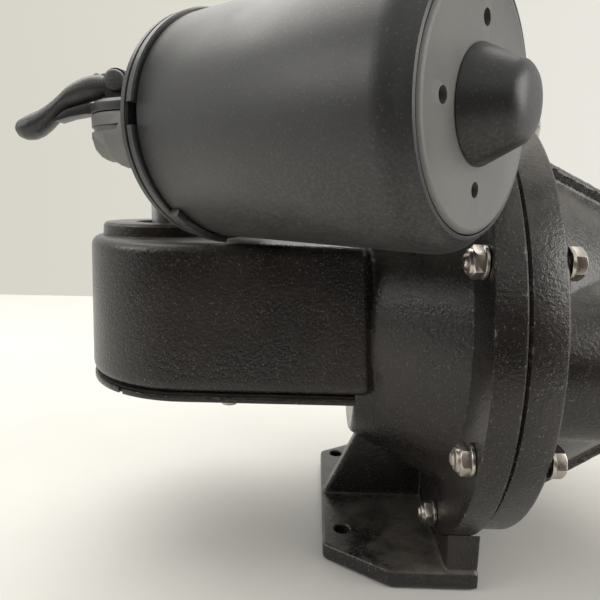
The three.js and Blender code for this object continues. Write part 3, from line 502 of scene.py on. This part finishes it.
def make_room():
    """Cream walls to the eye; what the gloss mirrors is a bright room with a dim near side."""
    world = bpy.data.worlds.new("room")
    bpy.context.scene.world = world
    world.use_nodes = True
    board = Board(world.node_tree)
    axes = board.add("SeparateXYZ", {"Vector": board.add("TexCoord").outputs["Generated"]})
    walls = board.mix(board.ramp(axes.outputs["X"], -0.45, 0.45), (0.69, 0.665, 0.59, 1), (0.82, 0.8, 0.74, 1))
    far = board.ramp(axes.outputs["Y"], -0.75, -0.1)
    above = board.ramp(axes.outputs["Z"], 0.12, 0.6)
    open_side = board.math("MAXIMUM", far, above)
    mirrored = board.mix(open_side, (0.035, 0.026, 0.024, 1), (0.8, 0.79, 0.75, 1))
    eye = board.add("LightPath").outputs["Is Camera Ray"]
    backdrop = world.node_tree.nodes["Background"]
    board.tree.links.new(board.mix(eye, mirrored, walls), backdrop.inputs["Color"])


def make_stage():
    bpy.context.scene.view_settings.view_transform = "Standard"
    deselect()
    bpy.ops.mesh.primitive_plane_add(size=1)
    floor = named("floor")
    place(floor, Matrix.Translation((0, -0.32, -0.0005)) @ Matrix.Diagonal((3.2, 1.77, 1, 1)))
    material, board, shader = new_material("table_top")
    skin = grouped(board, GRAIN, coarse=400, fine=1500, blotch=6)
    colour = board.mix(skin.outputs["Blotches"], (0.66, 0.65, 0.62, 1), (0.7, 0.69, 0.66, 1))
    board.tree.links.new(colour, shader.inputs["Base Color"])
    shader.inputs["Roughness"].default_value = 0.55
    floor.data.materials.append(material)
    deselect()
    bpy.ops.mesh.primitive_plane_add(size=1)
    screen = named("dim_screen")
    turn = Matrix.Rotation(math.pi / 2, 4, "X")
    place(screen, Matrix.Translation((0, -0.5, 0.15)) @ turn @ Matrix.Diagonal((1.6, 0.3, 1, 1)))
    material, board, shader = new_material("brown_screen")
    shader.inputs["Base Color"].default_value = (0.05, 0.035, 0.03, 1)
    shader.inputs["Roughness"].default_value = 0.9
    screen.data.materials.append(material)
    screen.visible_camera = False
    make_lamp("top_softbox", (-0.25, 0.4, 0.95), (-0.05, 0.05, 0.1), (1.2, 0.8), 9)
    make_lamp("left_softbox", (-0.9, -0.35, 0.55), (-0.1, 0, 0.12), (0.5, 0.4), 2.4)
    make_lamp("right_softbox", (1.0, -0.45, 0.5), (0.05, 0, 0.14), (0.9, 0.7), 9)


# ---- Gear case, its cover and screws ----
def case_block(name, inset, end, low, high, narrowing):
    """The round-ended box: half a cylinder, drawn out towards the bell."""
    radius = CASE_R - inset
    obj = rod(name, radius, low, high, at=(CASE_X, 0), sides=144)
    select_only(obj)
    bpy.ops.object.mode_set(mode="EDIT")
    bpy.ops.mesh.select_all(action="SELECT")
    bpy.ops.mesh.bisect(plane_co=(CASE_X * MM, 0, 0), plane_no=(1, 0, 0), clear_outer=True, use_fill=True)
    pick(obj, "faces", lambda face: face.normal.x > 0.99)
    reach = ((end - CASE_X) * MM, 0, 0)
    bpy.ops.mesh.extrude_region_move(TRANSFORM_OT_translate={"value": reach})
    pick(obj, "verts", lambda vert: vert.co.z > (high - 0.1) * MM)
    share = 1 - narrowing / radius
    bpy.ops.transform.resize(value=(share, share, 1), center_override=(CASE_X * MM, 0, high * MM))
    bpy.ops.object.mode_set(mode="OBJECT")
    return obj


def gear_case():
    """One casting: the round-ended case, its boss, the oval bell and the flange."""
    case = case_block("gear_case_casting", 0, BELL_START + CASE_OVERLAP, CASE_FLOOR, CASE_TOP, CASE_LEAN)
    round_edges(case, 4.2, 5, 50)
    boss = turned("boss", [(0, 130), (BOSS_R + 2.2, 130), (BOSS_R + 1, BOSS_TOP - 1.2),
                           (BOSS_R - 0.2, BOSS_TOP), (0, BOSS_TOP)], ON_POST)
    first, last = BELL_HEIGHTS
    bell = turned("bell", [(0, BELL_START), (first - 1, BELL_START), (first, BELL_START + 1),
                           (last, FLANGE_START + 1), (last, FLANGE_START + 4), (0, FLANGE_START + 4)], ON_SHAFT)
    select_only(bell)
    bpy.ops.object.mode_set(mode="EDIT")
    pick(bell, "verts", lambda vert: vert.co.x < (BELL_START + 2) * MM)
    squeeze = (1, BELL_FIRST_WIDTH / first, 1)
    bpy.ops.transform.resize(value=squeeze, center_override=(BELL_START * MM, 0, AXIS_Z * MM))
    bpy.ops.object.mode_set(mode="OBJECT")
    join(case, bell)
    as_casting(case, 1.0, 4, 0.42)
    rim = turned("rim", [(0, FLANGE_START), (FLANGE_R - 0.9, FLANGE_START), (FLANGE_R - 0.25, FLANGE_START + 0.25),
                         (FLANGE_R, FLANGE_START + 0.9), (FLANGE_R, FLANGE_END - 0.8),
                         (FLANGE_R - 0.8, FLANGE_END), (0, FLANGE_END)], ON_SHAFT, 180)
    bore = turned("bore", [(0, 143.3), (13, 143.3), (13, BOSS_TOP - 0.7), (14, BOSS_TOP + 1), (0, BOSS_TOP + 1)],
                  ON_POST)
    cut(join(case, rim, boss), bore)
    return finished(case, "black_paint", "housing", "gear_case", angle=40)


def cover_plates():
    plate = case_block("bottom_cover_plate", COVER_LIP, BELL_START - 0.3, COVER_LOW.z, COVER_HIGH.z, 0)
    notch = block("notch", (-121, -119.4), (-60, -42), (COVER_LOW.z - 1, COVER_HIGH.z + 1))
    cut(plate, notch)
    round_edges(plate, 0.35)
    finished(plate, "black_paint", "housing", "bottom_cover")
    sheet_low, sheet_high = span("cover_gasket")
    sheet = case_block("case_joint_sheet", 1.4, BELL_START - 0.3, sheet_low.z, sheet_high.z, 0)
    finished(sheet, "gasket", "housing", "cover_gasket")


def cover_screws():
    """Pan heads with a hexagon socket, seen under the plate."""
    low, high = span("cover_screw_1")
    head_top = COVER_LOW.z - 0.3
    screw = turned("cover_screw", [(0, low.z), (2.2, low.z), (3.4, low.z + 0.5), (3.95, low.z + 1.3),
                                   (4, head_top), (1.9, head_top), (1.9, high.z - 0.5), (1.5, high.z),
                                   (0, high.z)], sides_at(low, high), 40)
    cut(screw, rod("socket", 1.5, low.z - 1, low.z + 1.2, sides_at(low, high), 6))
    for index in range(1, 6):
        node = f"cover_screw_{index}"
        other_low, other_high = span(node)
        shift = (other_low + other_high - low - high) / 2
        twin = copied(screw, f"pan_screw_{index}")
        place(twin, Matrix.Translation((shift.x * MM, shift.y * MM, 0)))
        finished(twin, "stainless", "housing", node)
    bpy.data.objects.remove(screw)


def sides_at(low, high):
    return Matrix.Translation(((low.x + high.x) / 2 * MM, (low.y + high.y) / 2 * MM, 0))


# ---- Foot ----
def tower(name, levels):
    """A body drawn up through levels, each (height, low x, high x, half width)."""
    height, low, high, half = levels[0]
    deselect()
    bpy.ops.mesh.primitive_plane_add(size=1)
    obj = named(name)
    size = Matrix.Diagonal(((high - low) * MM, 2 * half * MM, 1, 1))
    place(obj, Matrix.Translation(((low + high) / 2 * MM, 0, height * MM)) @ size)
    bpy.ops.object.mode_set(mode="EDIT")
    bpy.ops.mesh.select_all(action="SELECT")
    for (height, low, high, half), (up, left, right, wide) in zip(levels, levels[1:]):
        shift = ((left + right - low - high) / 2 * MM, 0, (up - height) * MM)
        bpy.ops.mesh.extrude_region_move(TRANSFORM_OT_translate={"value": shift})
        ratio = ((right - left) / (high - low), wide / half, 1)
        bpy.ops.transform.resize(value=ratio, center_override=((left + right) / 2 * MM, 0, up * MM))
    bpy.ops.mesh.select_all(action="SELECT")
    bpy.ops.mesh.normals_make_consistent(inside=False)
    bpy.ops.object.mode_set(mode="OBJECT")
    return obj


FOOT_T = 7.7
FOOT_HOLES = ((-22, -34), (-22, 43))
FOOT_HOLE_R = 3.6
FOOT_CHAMFER = (28, 18)
WEB_HALF = 3.5
SADDLE_HALF = 62
FIT_GAP = 0.3


def foot():
    """A chamfered plate, a thin web that climbs to the bell and a wall under the flange."""
    low, high = span("foot_bracket")
    plate = block("foot_casting", (low.x, high.x), (low.y, high.y), (0, FOOT_T))
    for side in (-1, 1):
        corner = block("corner", (-40, 40), (0, 40), (-1, FOOT_T + 1))
        turn = Matrix.Rotation(side * math.atan2(FOOT_CHAMFER[1], FOOT_CHAMFER[0]), 4, "Z")
        mirrored = Matrix.Diagonal((1, side, 1, 1))
        spot = Matrix.Translation((low.x * MM, side * (high.y - FOOT_CHAMFER[1]) * MM, 0))
        place(corner, spot @ turn @ mirrored)
        if side < 0:
            select_only(corner)
            bpy.ops.object.mode_set(mode="EDIT")
            bpy.ops.mesh.select_all(action="SELECT")
            bpy.ops.mesh.normals_make_consistent(inside=False)
            bpy.ops.object.mode_set(mode="OBJECT")
        cut(plate, corner)
    round_edges(plate, 0.9, 3)
    web_end = FLANGE_START + 1
    web = tower("foot_web", [(FOOT_T - 1, -31, web_end, WEB_HALF), (52, -9.1, web_end, WEB_HALF)])
    saddle = block("saddle", (FLANGE_START, high.x), (-SADDLE_HALF, SADDLE_HALF), (FOOT_T - 1, 30))
    bell_low, bell_high = (radius + FIT_GAP for radius in BELL_HEIGHTS)
    rim_r, rim_start = FLANGE_R + FIT_GAP, FLANGE_START - FIT_GAP
    bell_room = turned("bell_room", [(0, BELL_START - 20), (bell_low, BELL_START - 20), (bell_low, BELL_START),
                                     (bell_high, rim_start), (rim_r, rim_start),
                                     (rim_r, FLANGE_END + 4), (0, FLANGE_END + 4)], ON_SHAFT)
    casting = join(web, saddle, plate)
    as_casting(casting, 0.95, 4, 0.5)
    tools = [bell_room]
    for x, y in FOOT_HOLES:
        tools.append(turned("hole", [(0, -1), (FOOT_HOLE_R, -1), (FOOT_HOLE_R, FOOT_T - 0.6),
                                     (FOOT_HOLE_R + 1, FOOT_T + 0.4), (FOOT_HOLE_R + 1, FOOT_T + 2),
                                     (0, FOOT_T + 2)],
                            Matrix.Translation((x * MM, y * MM, 0)), 48))
    cut(casting, *tools)
    return finished(casting, "black_paint", "housing", "foot_bracket", angle=40)


# ---- Flange joint, output cover and bolts ----
def bolt_places():
    places = []
    for index in range(1, 9):
        low, high = span(f"flange_bolt_{index}")
        places.append(((low.y + high.y) / 2, (low.z + high.z) / 2))
    return places


def flange_joint():
    low, high = span("flange_gasket")
    sheet = turned("flange_joint_sheet", [(77, low.x), (high.y, low.x), (high.y, high.x), (77, high.x)],
                   ON_SHAFT, 144)
    finished(sheet, "gasket", "housing", "flange_gasket")


def output_cover():
    start, end = COVER_FLANGE_START, COVER_FLANGE_END
    cone = turned("output_cover_casting",
                  [(0, start + 3), (88, start + 3), (88, end), (83, end), (57, CONE_END - 1.5), (54, CONE_END),
                   (38, CONE_END), (38, CONE_END + 8), (36, CONE_END + 9), (0, CONE_END + 9)], ON_SHAFT, 144)
    crank_boss = turned("crank_boss", [(0, end - 6), (31.5, end - 6), (31.5, 106.4), (30, 108), (0, 108)],
                        ON_CRANK, 96)
    join(cone, crank_boss)
    for k in (0, 2, 3, 4, 5):
        rib = block("rib", (-84, -48), (-2.6, 2.6), (end - 2, CONE_END - 2))
        clear = turned("clear", [(90, end - 3), (96, end - 3), (96, CONE_END), (61, CONE_END), (87, end + 2)],
                       UPRIGHT, 96)
        cut(rib, clear)
        join(cone, place(rib, ON_SHAFT @ Matrix.Rotation(math.radians(60 * k + 30), 4, "Z")))
    as_casting(cone, 1.2, 5, 0.4)
    rim = turned("rim", [(0, start), (COVER_FLANGE_R - 0.8, start), (COVER_FLANGE_R, start + 0.8),
                         (COVER_FLANGE_R, end - 1.5), (COVER_FLANGE_R - 0.5, end - 0.5),
                         (COVER_FLANGE_R - 1.6, end), (0, end)], ON_SHAFT, 180)
    hub_bore = rod("hub_bore", 20, 103.5, 112, ON_SHAFT, 96)
    shaft_bore = rod("shaft_bore", 15.5, 20, 112, ON_SHAFT, 96)
    crank_bore = rod("crank_bore", 13.3, 60, 112, ON_CRANK, 64)
    cut(join(cone, rim), hub_bore, shaft_bore, crank_bore)
    return finished(cone, "black_paint", "housing", "output_cover", angle=40)


def flange_bolts():
    """Bolt, two washers and a lock nut with its thread end, modelled once along the shaft."""
    low, high = span("flange_bolt_1")
    face, back = FLANGE_START - 0.3, COVER_FLANGE_END + 0.3
    tip = low.x
    thread = [(0, tip), (2.1, tip), (2.6, tip + 0.4)]
    for k in range(3):
        thread += [(2.95, tip + 0.6 + k * 0.45), (2.62, tip + 0.82 + k * 0.45)]
    shank = turned("bolt", thread + [(2.9, face - 4), (2.9, back + 2), (0, back + 2)], Z_TO_X, 36)
    nut = rod("nut", 5.88, face - 5, face - 1.1, Z_TO_X, 6)
    barrel = turned("barrel", [(0, face - 5.05), (4.9, face - 5.05), (5.9, face - 4.2), (5.9, face - 1.8),
                               (5, face - 1.05), (0, face - 1.05)], Z_TO_X, 48)
    combine(nut, "INTERSECT", barrel)
    round_edges(nut, 0.16)
    collar = turned("collar", [(3.1, face - 6), (3.7, face - 6.3), (4.3, face - 6), (4.7, face - 5.3),
                               (4.7, face - 4.6), (3.1, face - 4.6)], Z_TO_X, 48)
    head = rod("head", 5.88, back + 1.1, back + 5.2, Z_TO_X, 6)
    crown = turned("crown", [(0, back + 1.05), (5.9, back + 1.05), (5.9, back + 4.5), (4.9, back + 5.2),
                             (0, back + 5.2)], Z_TO_X, 48)
    combine(head, "INTERSECT", crown)
    round_edges(head, 0.16)
    washers = [turned("washer", [(2.8, x), (5.75, x), (5.9, x + 0.15), (5.9, x + 1.05), (5.75, x + 1.2),
                                 (2.8, x + 1.2)], Z_TO_X, 48) for x in (face - 1.2, back)]
    bolt = join(shank, nut, collar, head, *washers)
    for index, (y, z) in enumerate(bolt_places(), 1):
        twin = copied(bolt, f"nut_and_bolt_{index}")
        turn = Matrix.Rotation(math.radians(37 * index), 4, "X")
        place(twin, Matrix.Translation((0, y * MM, z * MM)) @ turn)
        finished(twin, "stainless", "housing", f"flange_bolt_{index}", angle=30)
    bpy.data.objects.remove(bolt)


# ---- Motor ----
def motor():
    tube = turned("motor_body_tube",
                  [(37, RIM_T + 0.3), (MOTOR_R - 0.3, RIM_T + 0.3), (MOTOR_R, RIM_T + 0.8), (MOTOR_R, 96)]
                  + [(MOTOR_R - 7 + 7 * math.cos(a), 96 + 8.6 * math.sin(a))
                     for a in (math.radians(d) for d in range(12, 72, 12))]
                  + [(35.4, MOTOR_L - 0.9), (34.6, MOTOR_L - 0.6), (34.2, MOTOR_L - 0.9), (34.2, 100), (37, 96)],
                  ON_MOTOR, 160)
    finished(tube, "motor_paint", "housing", "motor_tube")
    cap = turned("motor_end_plate",
                 [(13.5, 98), (30, 98), (30, 101.4), (33.8, 101.4), (33.8, MOTOR_L - 0.9), (33.4, MOTOR_L - 0.4),
                  (32.6, MOTOR_L), (31.8, MOTOR_L - 0.1), (31.2, MOTOR_L - 0.5), (13.5, MOTOR_L - 0.5)],
                 ON_MOTOR, 144)
    holes = [rod("hole", 2.2, 97, MOTOR_L + 1, ON_MOTOR, 32, at)
             for at in around(21.8, 0, 270, 4)]
    cut(cap, *holes)
    finished(cap, "cap_grey", "housing", "motor_end_cap")
    nose = turned("motor_dome",
                  [(13, MOTOR_L - 0.2), (15.7, MOTOR_L - 0.2), (15.5, MOTOR_L + 0.5), (10.7, MOTOR_L + 10),
                   (10.2, MOTOR_L + 11), (9.4, MOTOR_L + 11.8), (8, MOTOR_L + 12.7), (5.5, MOTOR_L + 13.4),
                   (2.8, MOTOR_L + 13.65), (0, MOTOR_L + 13.7), (0, MOTOR_L + 10), (7.5, MOTOR_L + 9),
                   (11, MOTOR_L + 1), (11, MOTOR_L - 0.2)],
                  ON_MOTOR, 96)
    finished(nose, "motor_paint", "housing", "motor_nose", angle=50)
    rim = turned("motor_double_rim",
                 [(0, 0), (RIM_R - 0.6, 0), (RIM_R, 0.6), (RIM_R, 2.6), (RIM_R - 0.9, 3), (RIM_R - 0.9, 3.5),
                  (RIM_R, 3.9), (RIM_R, RIM_T - 0.6), (RIM_R - 0.5, RIM_T), (36.6, RIM_T), (36.6, RIM_T + 3),
                  (20, RIM_T + 3), (20, 3), (0, 3)], ON_MOTOR, 160)
    notch = block("notch", (3.4, RIM_T + 0.2), (-RIM_R - 2, -RIM_R + 4.6), (-2.6, 4.8), MOTOR_FRAME)
    cut(rim, notch, rod("shaft_hole", 5, -1, RIM_T + 4, ON_MOTOR, 48))
    finished(rim, "motor_paint", "housing", "motor_rear_rim")
    lean = Matrix.Rotation(math.radians(-25), 4, "X")
    bar = block("tube_bar", (RIM_T + 1, RIM_T + 5.2), (-12.3, 12.3), (-50, -35), MOTOR_FRAME @ lean)
    bar_low, bar_high = MOTOR_R + 0.3, MOTOR_R + 2.6
    sleeve = turned("sleeve", [(bar_low, 6), (bar_high, 6), (bar_high, 14), (bar_low, 14)], ON_MOTOR, 160)
    combine(bar, "INTERSECT", sleeve)
    round_edges(bar, 0.3)
    finished(bar, "motor_paint", "housing", "rim_key")


# ---- Worm head and lid ----
# The arm under the lever, as X and Z points along its top and back along its underside.
LEVER_REST = [(-136, 195.6), (-136, 200.4), (-139, 200.4), (-142.5, 199.9), (-146.2, 198.9), (-151, 197.4),
              (-153.4, 196), (-155.5, 194.3), (-157, 192.8), (-156.3, 192.2), (-153.6, 193), (-150, 194.1),
              (-146, 194.8), (-141.9, 195.6)]
# Stations along the lever: X, Z, half height and half width.
LEVER_STATIONS = [
    (-127.5, 208.8, 4.3, 4.8), (-133, 207.8, 4.6, 4.9), (-136.6, 207.6, 5.5, 5.6), (-140.3, 207.3, 5.5, 6.2),
    (-143.6, 206.2, 5.4, 6.6), (-147.4, 204.7, 4.9, 6.8), (-150.7, 203.1, 4.1, 6.8), (-154.2, 200.2, 3.4, 6.6),
    (-157.6, 196.9, 3.9, 6.6), (-161.1, 194, 4.5, 7), (-164.5, 191.7, 5.2, 7.4), (-167.9, 190.3, 5.6, 7.6),
    (-171.2, 189.4, 5.2, 7.2), (-174.1, 189.2, 4.1, 5.6), (-176.2, 189.4, 1.8, 2.4)]


KNOB = (-138, LEVER_PIVOT.y, 211.6)


def side_plate(name, outline, near, far):
    """A plate drawn in X and Z, and given thickness between two Y values."""
    points = [Vector((x * MM, near * MM, z * MM)) for x, z in outline]
    deselect()
    bpy.ops.mesh.primitive_plane_add(size=MM)
    obj = named(name)
    bpy.ops.object.mode_set(mode="EDIT")
    bpy.ops.mesh.merge(type="CENTER")
    bpy.ops.transform.translate(value=points[0])
    for start, end in zip(points, points[1:]):
        bpy.ops.mesh.extrude_vertices_move(TRANSFORM_OT_translate={"value": end - start})
    bpy.ops.mesh.select_all(action="SELECT")
    bpy.ops.mesh.edge_face_add()
    bpy.ops.mesh.extrude_region_move(TRANSFORM_OT_translate={"value": (0, (far - near) * MM, 0)})
    bpy.ops.mesh.select_all(action="SELECT")
    bpy.ops.mesh.normals_make_consistent(inside=False)
    bpy.ops.object.mode_set(mode="OBJECT")
    return obj


def lever_handle(name, extra=0.0):
    """An oval drawn out through the lever's stations, in upright sections."""
    sections = []
    for k, (x, z, high, wide) in enumerate(LEVER_STATIONS):
        before, after = LEVER_STATIONS[max(k - 1, 0)], LEVER_STATIONS[min(k + 1, len(LEVER_STATIONS) - 1)]
        slope = math.atan2(abs(after[1] - before[1]), abs(after[0] - before[0]))
        sections.append((x, z, high / math.cos(slope) + extra, wide + extra))
    x, z, high, wide = sections[0]
    deselect()
    bpy.ops.mesh.primitive_circle_add(vertices=28, radius=MM, fill_type="NGON")
    obj = named(name)
    size = Matrix.Diagonal((1, wide, high, 1))
    place(obj, Matrix.Translation((x * MM, LEVER_PIVOT.y * MM, z * MM)) @ size @ Z_TO_X)
    bpy.ops.object.mode_set(mode="EDIT")
    bpy.ops.mesh.select_all(action="SELECT")
    for (x, z, high, wide), (end, up, tall, broad) in zip(sections, sections[1:]):
        step = ((end - x) * MM, 0, (up - z) * MM)
        bpy.ops.mesh.extrude_region_move(TRANSFORM_OT_translate={"value": step})
        middle = (end * MM, LEVER_PIVOT.y * MM, up * MM)
        bpy.ops.transform.resize(value=(1, broad / wide, tall / high), center_override=middle)
    bpy.ops.mesh.select_all(action="SELECT")
    bpy.ops.mesh.normals_make_consistent(inside=False)
    bpy.ops.object.mode_set(mode="OBJECT")
    return obj


def head():
    """The drum round the worm wheel, with its neck, arm and leg."""
    drum = turned("worm_head_casting",
                  [(0, HEAD_LOW), (HEAD_R - 11, HEAD_LOW), (HEAD_R - 8, HEAD_LOW + 0.9),
                   (HEAD_R - 5, HEAD_LOW + 2.5),
                   (HEAD_R - 3, HEAD_LOW + 4.4), (HEAD_R - 1.5, HEAD_LOW + 6.5), (HEAD_R - 0.4, HEAD_LOW + 8.4),
                   (HEAD_R, HEAD_LOW + 10), (HEAD_R, HEAD_HIGH), (0, HEAD_HIGH)],
                  HEAD_FRAME, 120)
    neck = rod("neck", 14, -REAR_TO_POST, -0.3, ON_MOTOR, 96)
    neck_end = rod("neck_end", 11, -NECK_END, -REAR_TO_POST + 1, ON_MOTOR, 96)
    flange = rod("flange", 26, -6, -0.3, ON_MOTOR, 120)
    drop = MOTOR_REAR.z / MM
    leg_x, leg_y = 19.5, 33.9
    leg_frame = HEAD_FRAME @ Matrix.Translation((leg_x * MM, leg_y * MM, 0))
    leg = rod("leg", 10, CASE_TOP + 1.5 - drop, HEAD_HIGH, leg_frame, 64)
    foot_pad = rod("pad", 15, CASE_TOP + 0.5 - drop, CASE_TOP + 6 - drop, leg_frame, 64)
    boss_room = rod("boss_room", BOSS_R + 2, CASE_TOP - 2, BOSS_TOP + 0.3, ON_POST, 96)
    turn = Matrix.Rotation(math.atan2(leg_y, leg_x), 4, "Z")
    arm = block("arm", (0, math.hypot(leg_x, leg_y)), (-10, 10), (HEAD_LOW + 1, HEAD_HIGH), HEAD_FRAME @ turn)
    join(drum, neck, neck_end, flange, leg, arm, cut(foot_pad, boss_room))
    as_casting(drum, 0.95, 3, 0.5)
    groove = turned("groove", [(HEAD_R - 1, 1.6), (HEAD_R + 2, 1.6), (HEAD_R + 2, 4), (HEAD_R - 1, 4)],
                    HEAD_FRAME, 120)
    cut(drum, groove)
    finished(drum, "cap_grey", "housing", "worm_head", angle=40)
    lid = turned("head_lid_plate",
                 [(0, HEAD_HIGH + 0.3), (HEAD_R - 0.3, HEAD_HIGH + 0.3), (HEAD_R, HEAD_HIGH + 0.8),
                  (HEAD_R, HEAD_HIGH + 3.8), (HEAD_R - 1.5, HEAD_HIGH + 5.3), (HEAD_R - 3, HEAD_HIGH + 5.5),
                  (0, HEAD_HIGH + 5.5)], HEAD_FRAME, 120)
    rest = side_plate("lever_rest", LEVER_REST, LEVER_PIVOT.y - 5, LEVER_PIVOT.y + 5)
    round_edges(rest, 0.3)
    cut(join(lid, rest), rod("neck_room", 14.3, -REAR_TO_POST - 0.3, 0, ON_MOTOR, 96),
        rod("end_room", 11.3, -NECK_END - 0.3, -REAR_TO_POST, ON_MOTOR, 96), lever_handle("lever_room", 0.45))
    finished(lid, "motor_paint", "housing", "head_lid")


# ---- Release lever ----
def lever():
    """The handle with its hub and the domed knob on its far side."""
    handle = lever_handle("release_lever_arm")
    hub = rod("hub", 6, -5, 5, ON_PIVOT)
    knob = turned("knob", [(0, 0), (2.5, 0), (2.5, 10), (4.2, 10.4), (4.8, 11.4), (4.8, 13),
                           (4.3, 14.9), (3.2, 16.4), (1.7, 17.2), (0, 17.4)], Matrix.Translation(Vector(KNOB) * MM) @ Z_TO_Y, 40)
    join(handle, hub, knob)
    as_casting(handle, 0.5, 4, 0.5)
    cut(handle, rod("pin_hole", 3.05, -10, 10, ON_PIVOT, 48))
    finished(handle, "handle_black", "lever", "release_lever", angle=60)


def lever_seat():
    low, high = span("lever_bracket")
    x, y, z = LEVER_PIVOT
    seat = block("lever_fork", (low.x, high.x), (low.y, high.y), (low.z, low.z + 1.3))
    for side in (-1, 1):
        outer, inner = y + side * 9.5, y + side * 5.7
        cheek = block("cheek", (x - 5, x + 6), sorted((outer, inner)), (low.z, high.z - 2.6))
        ear = rod("ear", 5.5, *sorted((outer - y, inner - y)), ON_PIVOT, 48)
        join(seat, cheek, ear)
    cut(seat, rod("pin_hole", 3.1, -14, 14, ON_PIVOT, 48))
    round_edges(seat, 0.35)
    finished(seat, "motor_paint", "housing", "lever_bracket")
    pin = turned("lever_pin_turned",
                 [(0, -12.6), (3, -12.6), (4.1, -12.2), (4.6, -11.4), (4.6, -9.9), (2.8, -9.9), (2.8, 9.9),
                  (4.6, 9.9), (4.6, 11.4), (4.1, 12.2), (3, 12.6), (0, 12.6)], ON_PIVOT, 48)
    finished(pin, "handle_black", "housing", "lever_pin")


# ---- Drive post, shafts and seals that show ----
def shafts():
    post_low, post_high = span("drive_post")
    step = AXIS_Z + 23
    post = turned("drive_post_turned", [(0, post_low.z), (4.2, post_low.z), (4.2, step), (6, step),
                                        (6, post_high.z - 0.6), (5.4, post_high.z), (0, post_high.z)], ON_POST, 64)
    finished(post, "steel", "drive_post", "drive_post")
    low, high = span("post_bearing")
    race = turned("post_ball_race", [(6.3, low.z), (11, low.z), (11, high.z), (9.4, high.z), (9.2, high.z - 0.7),
                                     (8.1, high.z - 0.7), (7.9, high.z), (6.3, high.z)], ON_POST, 64)
    finished(race, "steel", "housing", "post_bearing")
    low, high = span("shaft_seal")
    seal = turned("lip_seal", [(14.45, low.x), (19.7, low.x), (19.7, high.x), (17.4, high.x),
                               (16.6, high.x - 1.4), (15.6, high.x - 0.3), (14.45, high.x - 1)], ON_SHAFT, 96)
    finished(seal, "rubber", "housing", "shaft_seal")
    low, high = span("crank_bush")
    bush = turned("crank_sleeve", [(10.45, low.x), (13, low.x), (13, high.x - 0.5), (12.5, high.x),
                                   (10.9, high.x), (10.45, high.x - 0.5)], ON_CRANK, 64)
    finished(bush, "bronze", "housing", "crank_bush")


# ---- Chain wheel, drum and clutch ----
def chain_wheel():
    low, high = span("chain_gypsy")
    radius = high.y
    middle = (low.x + high.x) / 2
    wheel = turned("chain_wheel_casting",
                   [(16.5, low.x), (radius - 1.2, low.x), (radius, low.x + 1.2), (radius, low.x + 4),
                    (radius - 6, low.x + 10), (28, middle - 5), (26.5, middle), (28, middle + 5),
                    (radius - 6, high.x - 10), (radius, high.x - 4), (radius, high.x - 1.2),
                    (radius - 1.2, high.x), (16.5, high.x)], ON_SHAFT, 96)
    for k in range(6):
        turn = ON_SHAFT @ Matrix.Rotation(math.radians(60 * k), 4, "Z")
        cut(wheel, block("pocket", (-60, -29), (-12, 12), (middle - 10.5, middle + 10.5), turn))
    as_casting(wheel, 0.8, 3, 0.6)
    finished(wheel, "stainless", "gypsy", "chain_gypsy", angle=45)
    low, high = span("gypsy_bush")
    bush = turned("wheel_sleeve", [(14.45, low.x), (16.2, low.x), (16.2, high.x), (14.45, high.x)], ON_SHAFT, 64)
    finished(bush, "bronze", "gypsy", "gypsy_bush")


def drum():
    low, high = span("warping_drum")
    waist = [(29 + 12 * abs(2 * i / 16 - 1) ** 2.2, low.x + 4 + (high.x - low.x - 8) * i / 16) for i in range(17)]
    body = turned("rope_drum", [(14.3, low.x), (42, low.x), (42.7, low.x + 0.3), (43, low.x + 1), (43, low.x + 3)]
                  + waist + [(43, high.x - 3), (43, high.x - 1), (42.7, high.x - 0.3), (42, high.x),
                             (25, high.x), (24, high.x - 1), (24, 200.6), (14.3, 200.6)], ON_SHAFT, 144)
    finished(body, "stainless", "main", "warping_drum")
    low, high = span("clutch_cone")
    cone = turned("clutch_ring", [(14.3, low.x), (29.6, low.x), (30.4, low.x + 0.3), (33.8, high.x - 0.6),
                                  (33.4, high.x), (14.3, high.x)], ON_SHAFT, 120)
    finished(cone, "stainless", "main", "clutch_cone")


def clutch_nut():
    low, high = span("clutch_nut")
    hub = turned("clutch_star_nut", [(10.3, low.x), (19.4, low.x), (20, low.x + 0.6), (20, high.x - 2.4),
                                     (19.2, high.x - 0.9), (17.6, high.x), (11, high.x), (10.3, high.x - 0.7)],
                 ON_SHAFT, 96)
    for k in range(3):
        lug = turned("lug", [(0, 15), (3.6, 15), (3.6, 32), (3, 33.4), (1.6, 34), (0, 34)], UPRIGHT, 40)
        turn = Matrix.Rotation(math.radians(120 * k), 4, "X")
        place(lug, Matrix.Translation((0, 0, AXIS_Z * MM)) @ turn @ Matrix.Translation((218.5 * MM, 0, 0)))
        join(hub, lug)
    round_edges(hub, 0.4)
    finished(hub, "stainless", "clutch_nut", "clutch_nut")


def stripper():
    low, high = span("chain_stripper")
    middle = (span("chain_gypsy")[0].x + span("chain_gypsy")[1].x) / 2
    bar = block("chain_stripper_bar", (low.x, 113.4), (-8, 8), (AXIS_Z - 62, AXIS_Z - 23))
    join(bar, block("shelf", (110, middle + 3), (-8, 8), (AXIS_Z - 62, AXIS_Z - 54)),
         block("finger", (middle - 3, middle + 3), (-5, 5), (AXIS_Z - 58, AXIS_Z - 31)))
    round_edges(bar, 0.8, 3)
    finished(bar, "stainless", "housing", "chain_stripper")


# ---- Build ----
make_camera()
make_room()
make_stage()
for node, obj in frame["nodes"].items():
    for row in frame["record"]["subparts"]:
        if row["node"] == node:
            obj.material_slots[0].material = FINISHES[row["material_slot"]]
gear_case()
cover_plates()
cover_screws()
foot()
flange_joint()
output_cover()
flange_bolts()
motor()
head()
lever()
lever_seat()
shafts()
chain_wheel()
drum()
clutch_nut()
stripper()
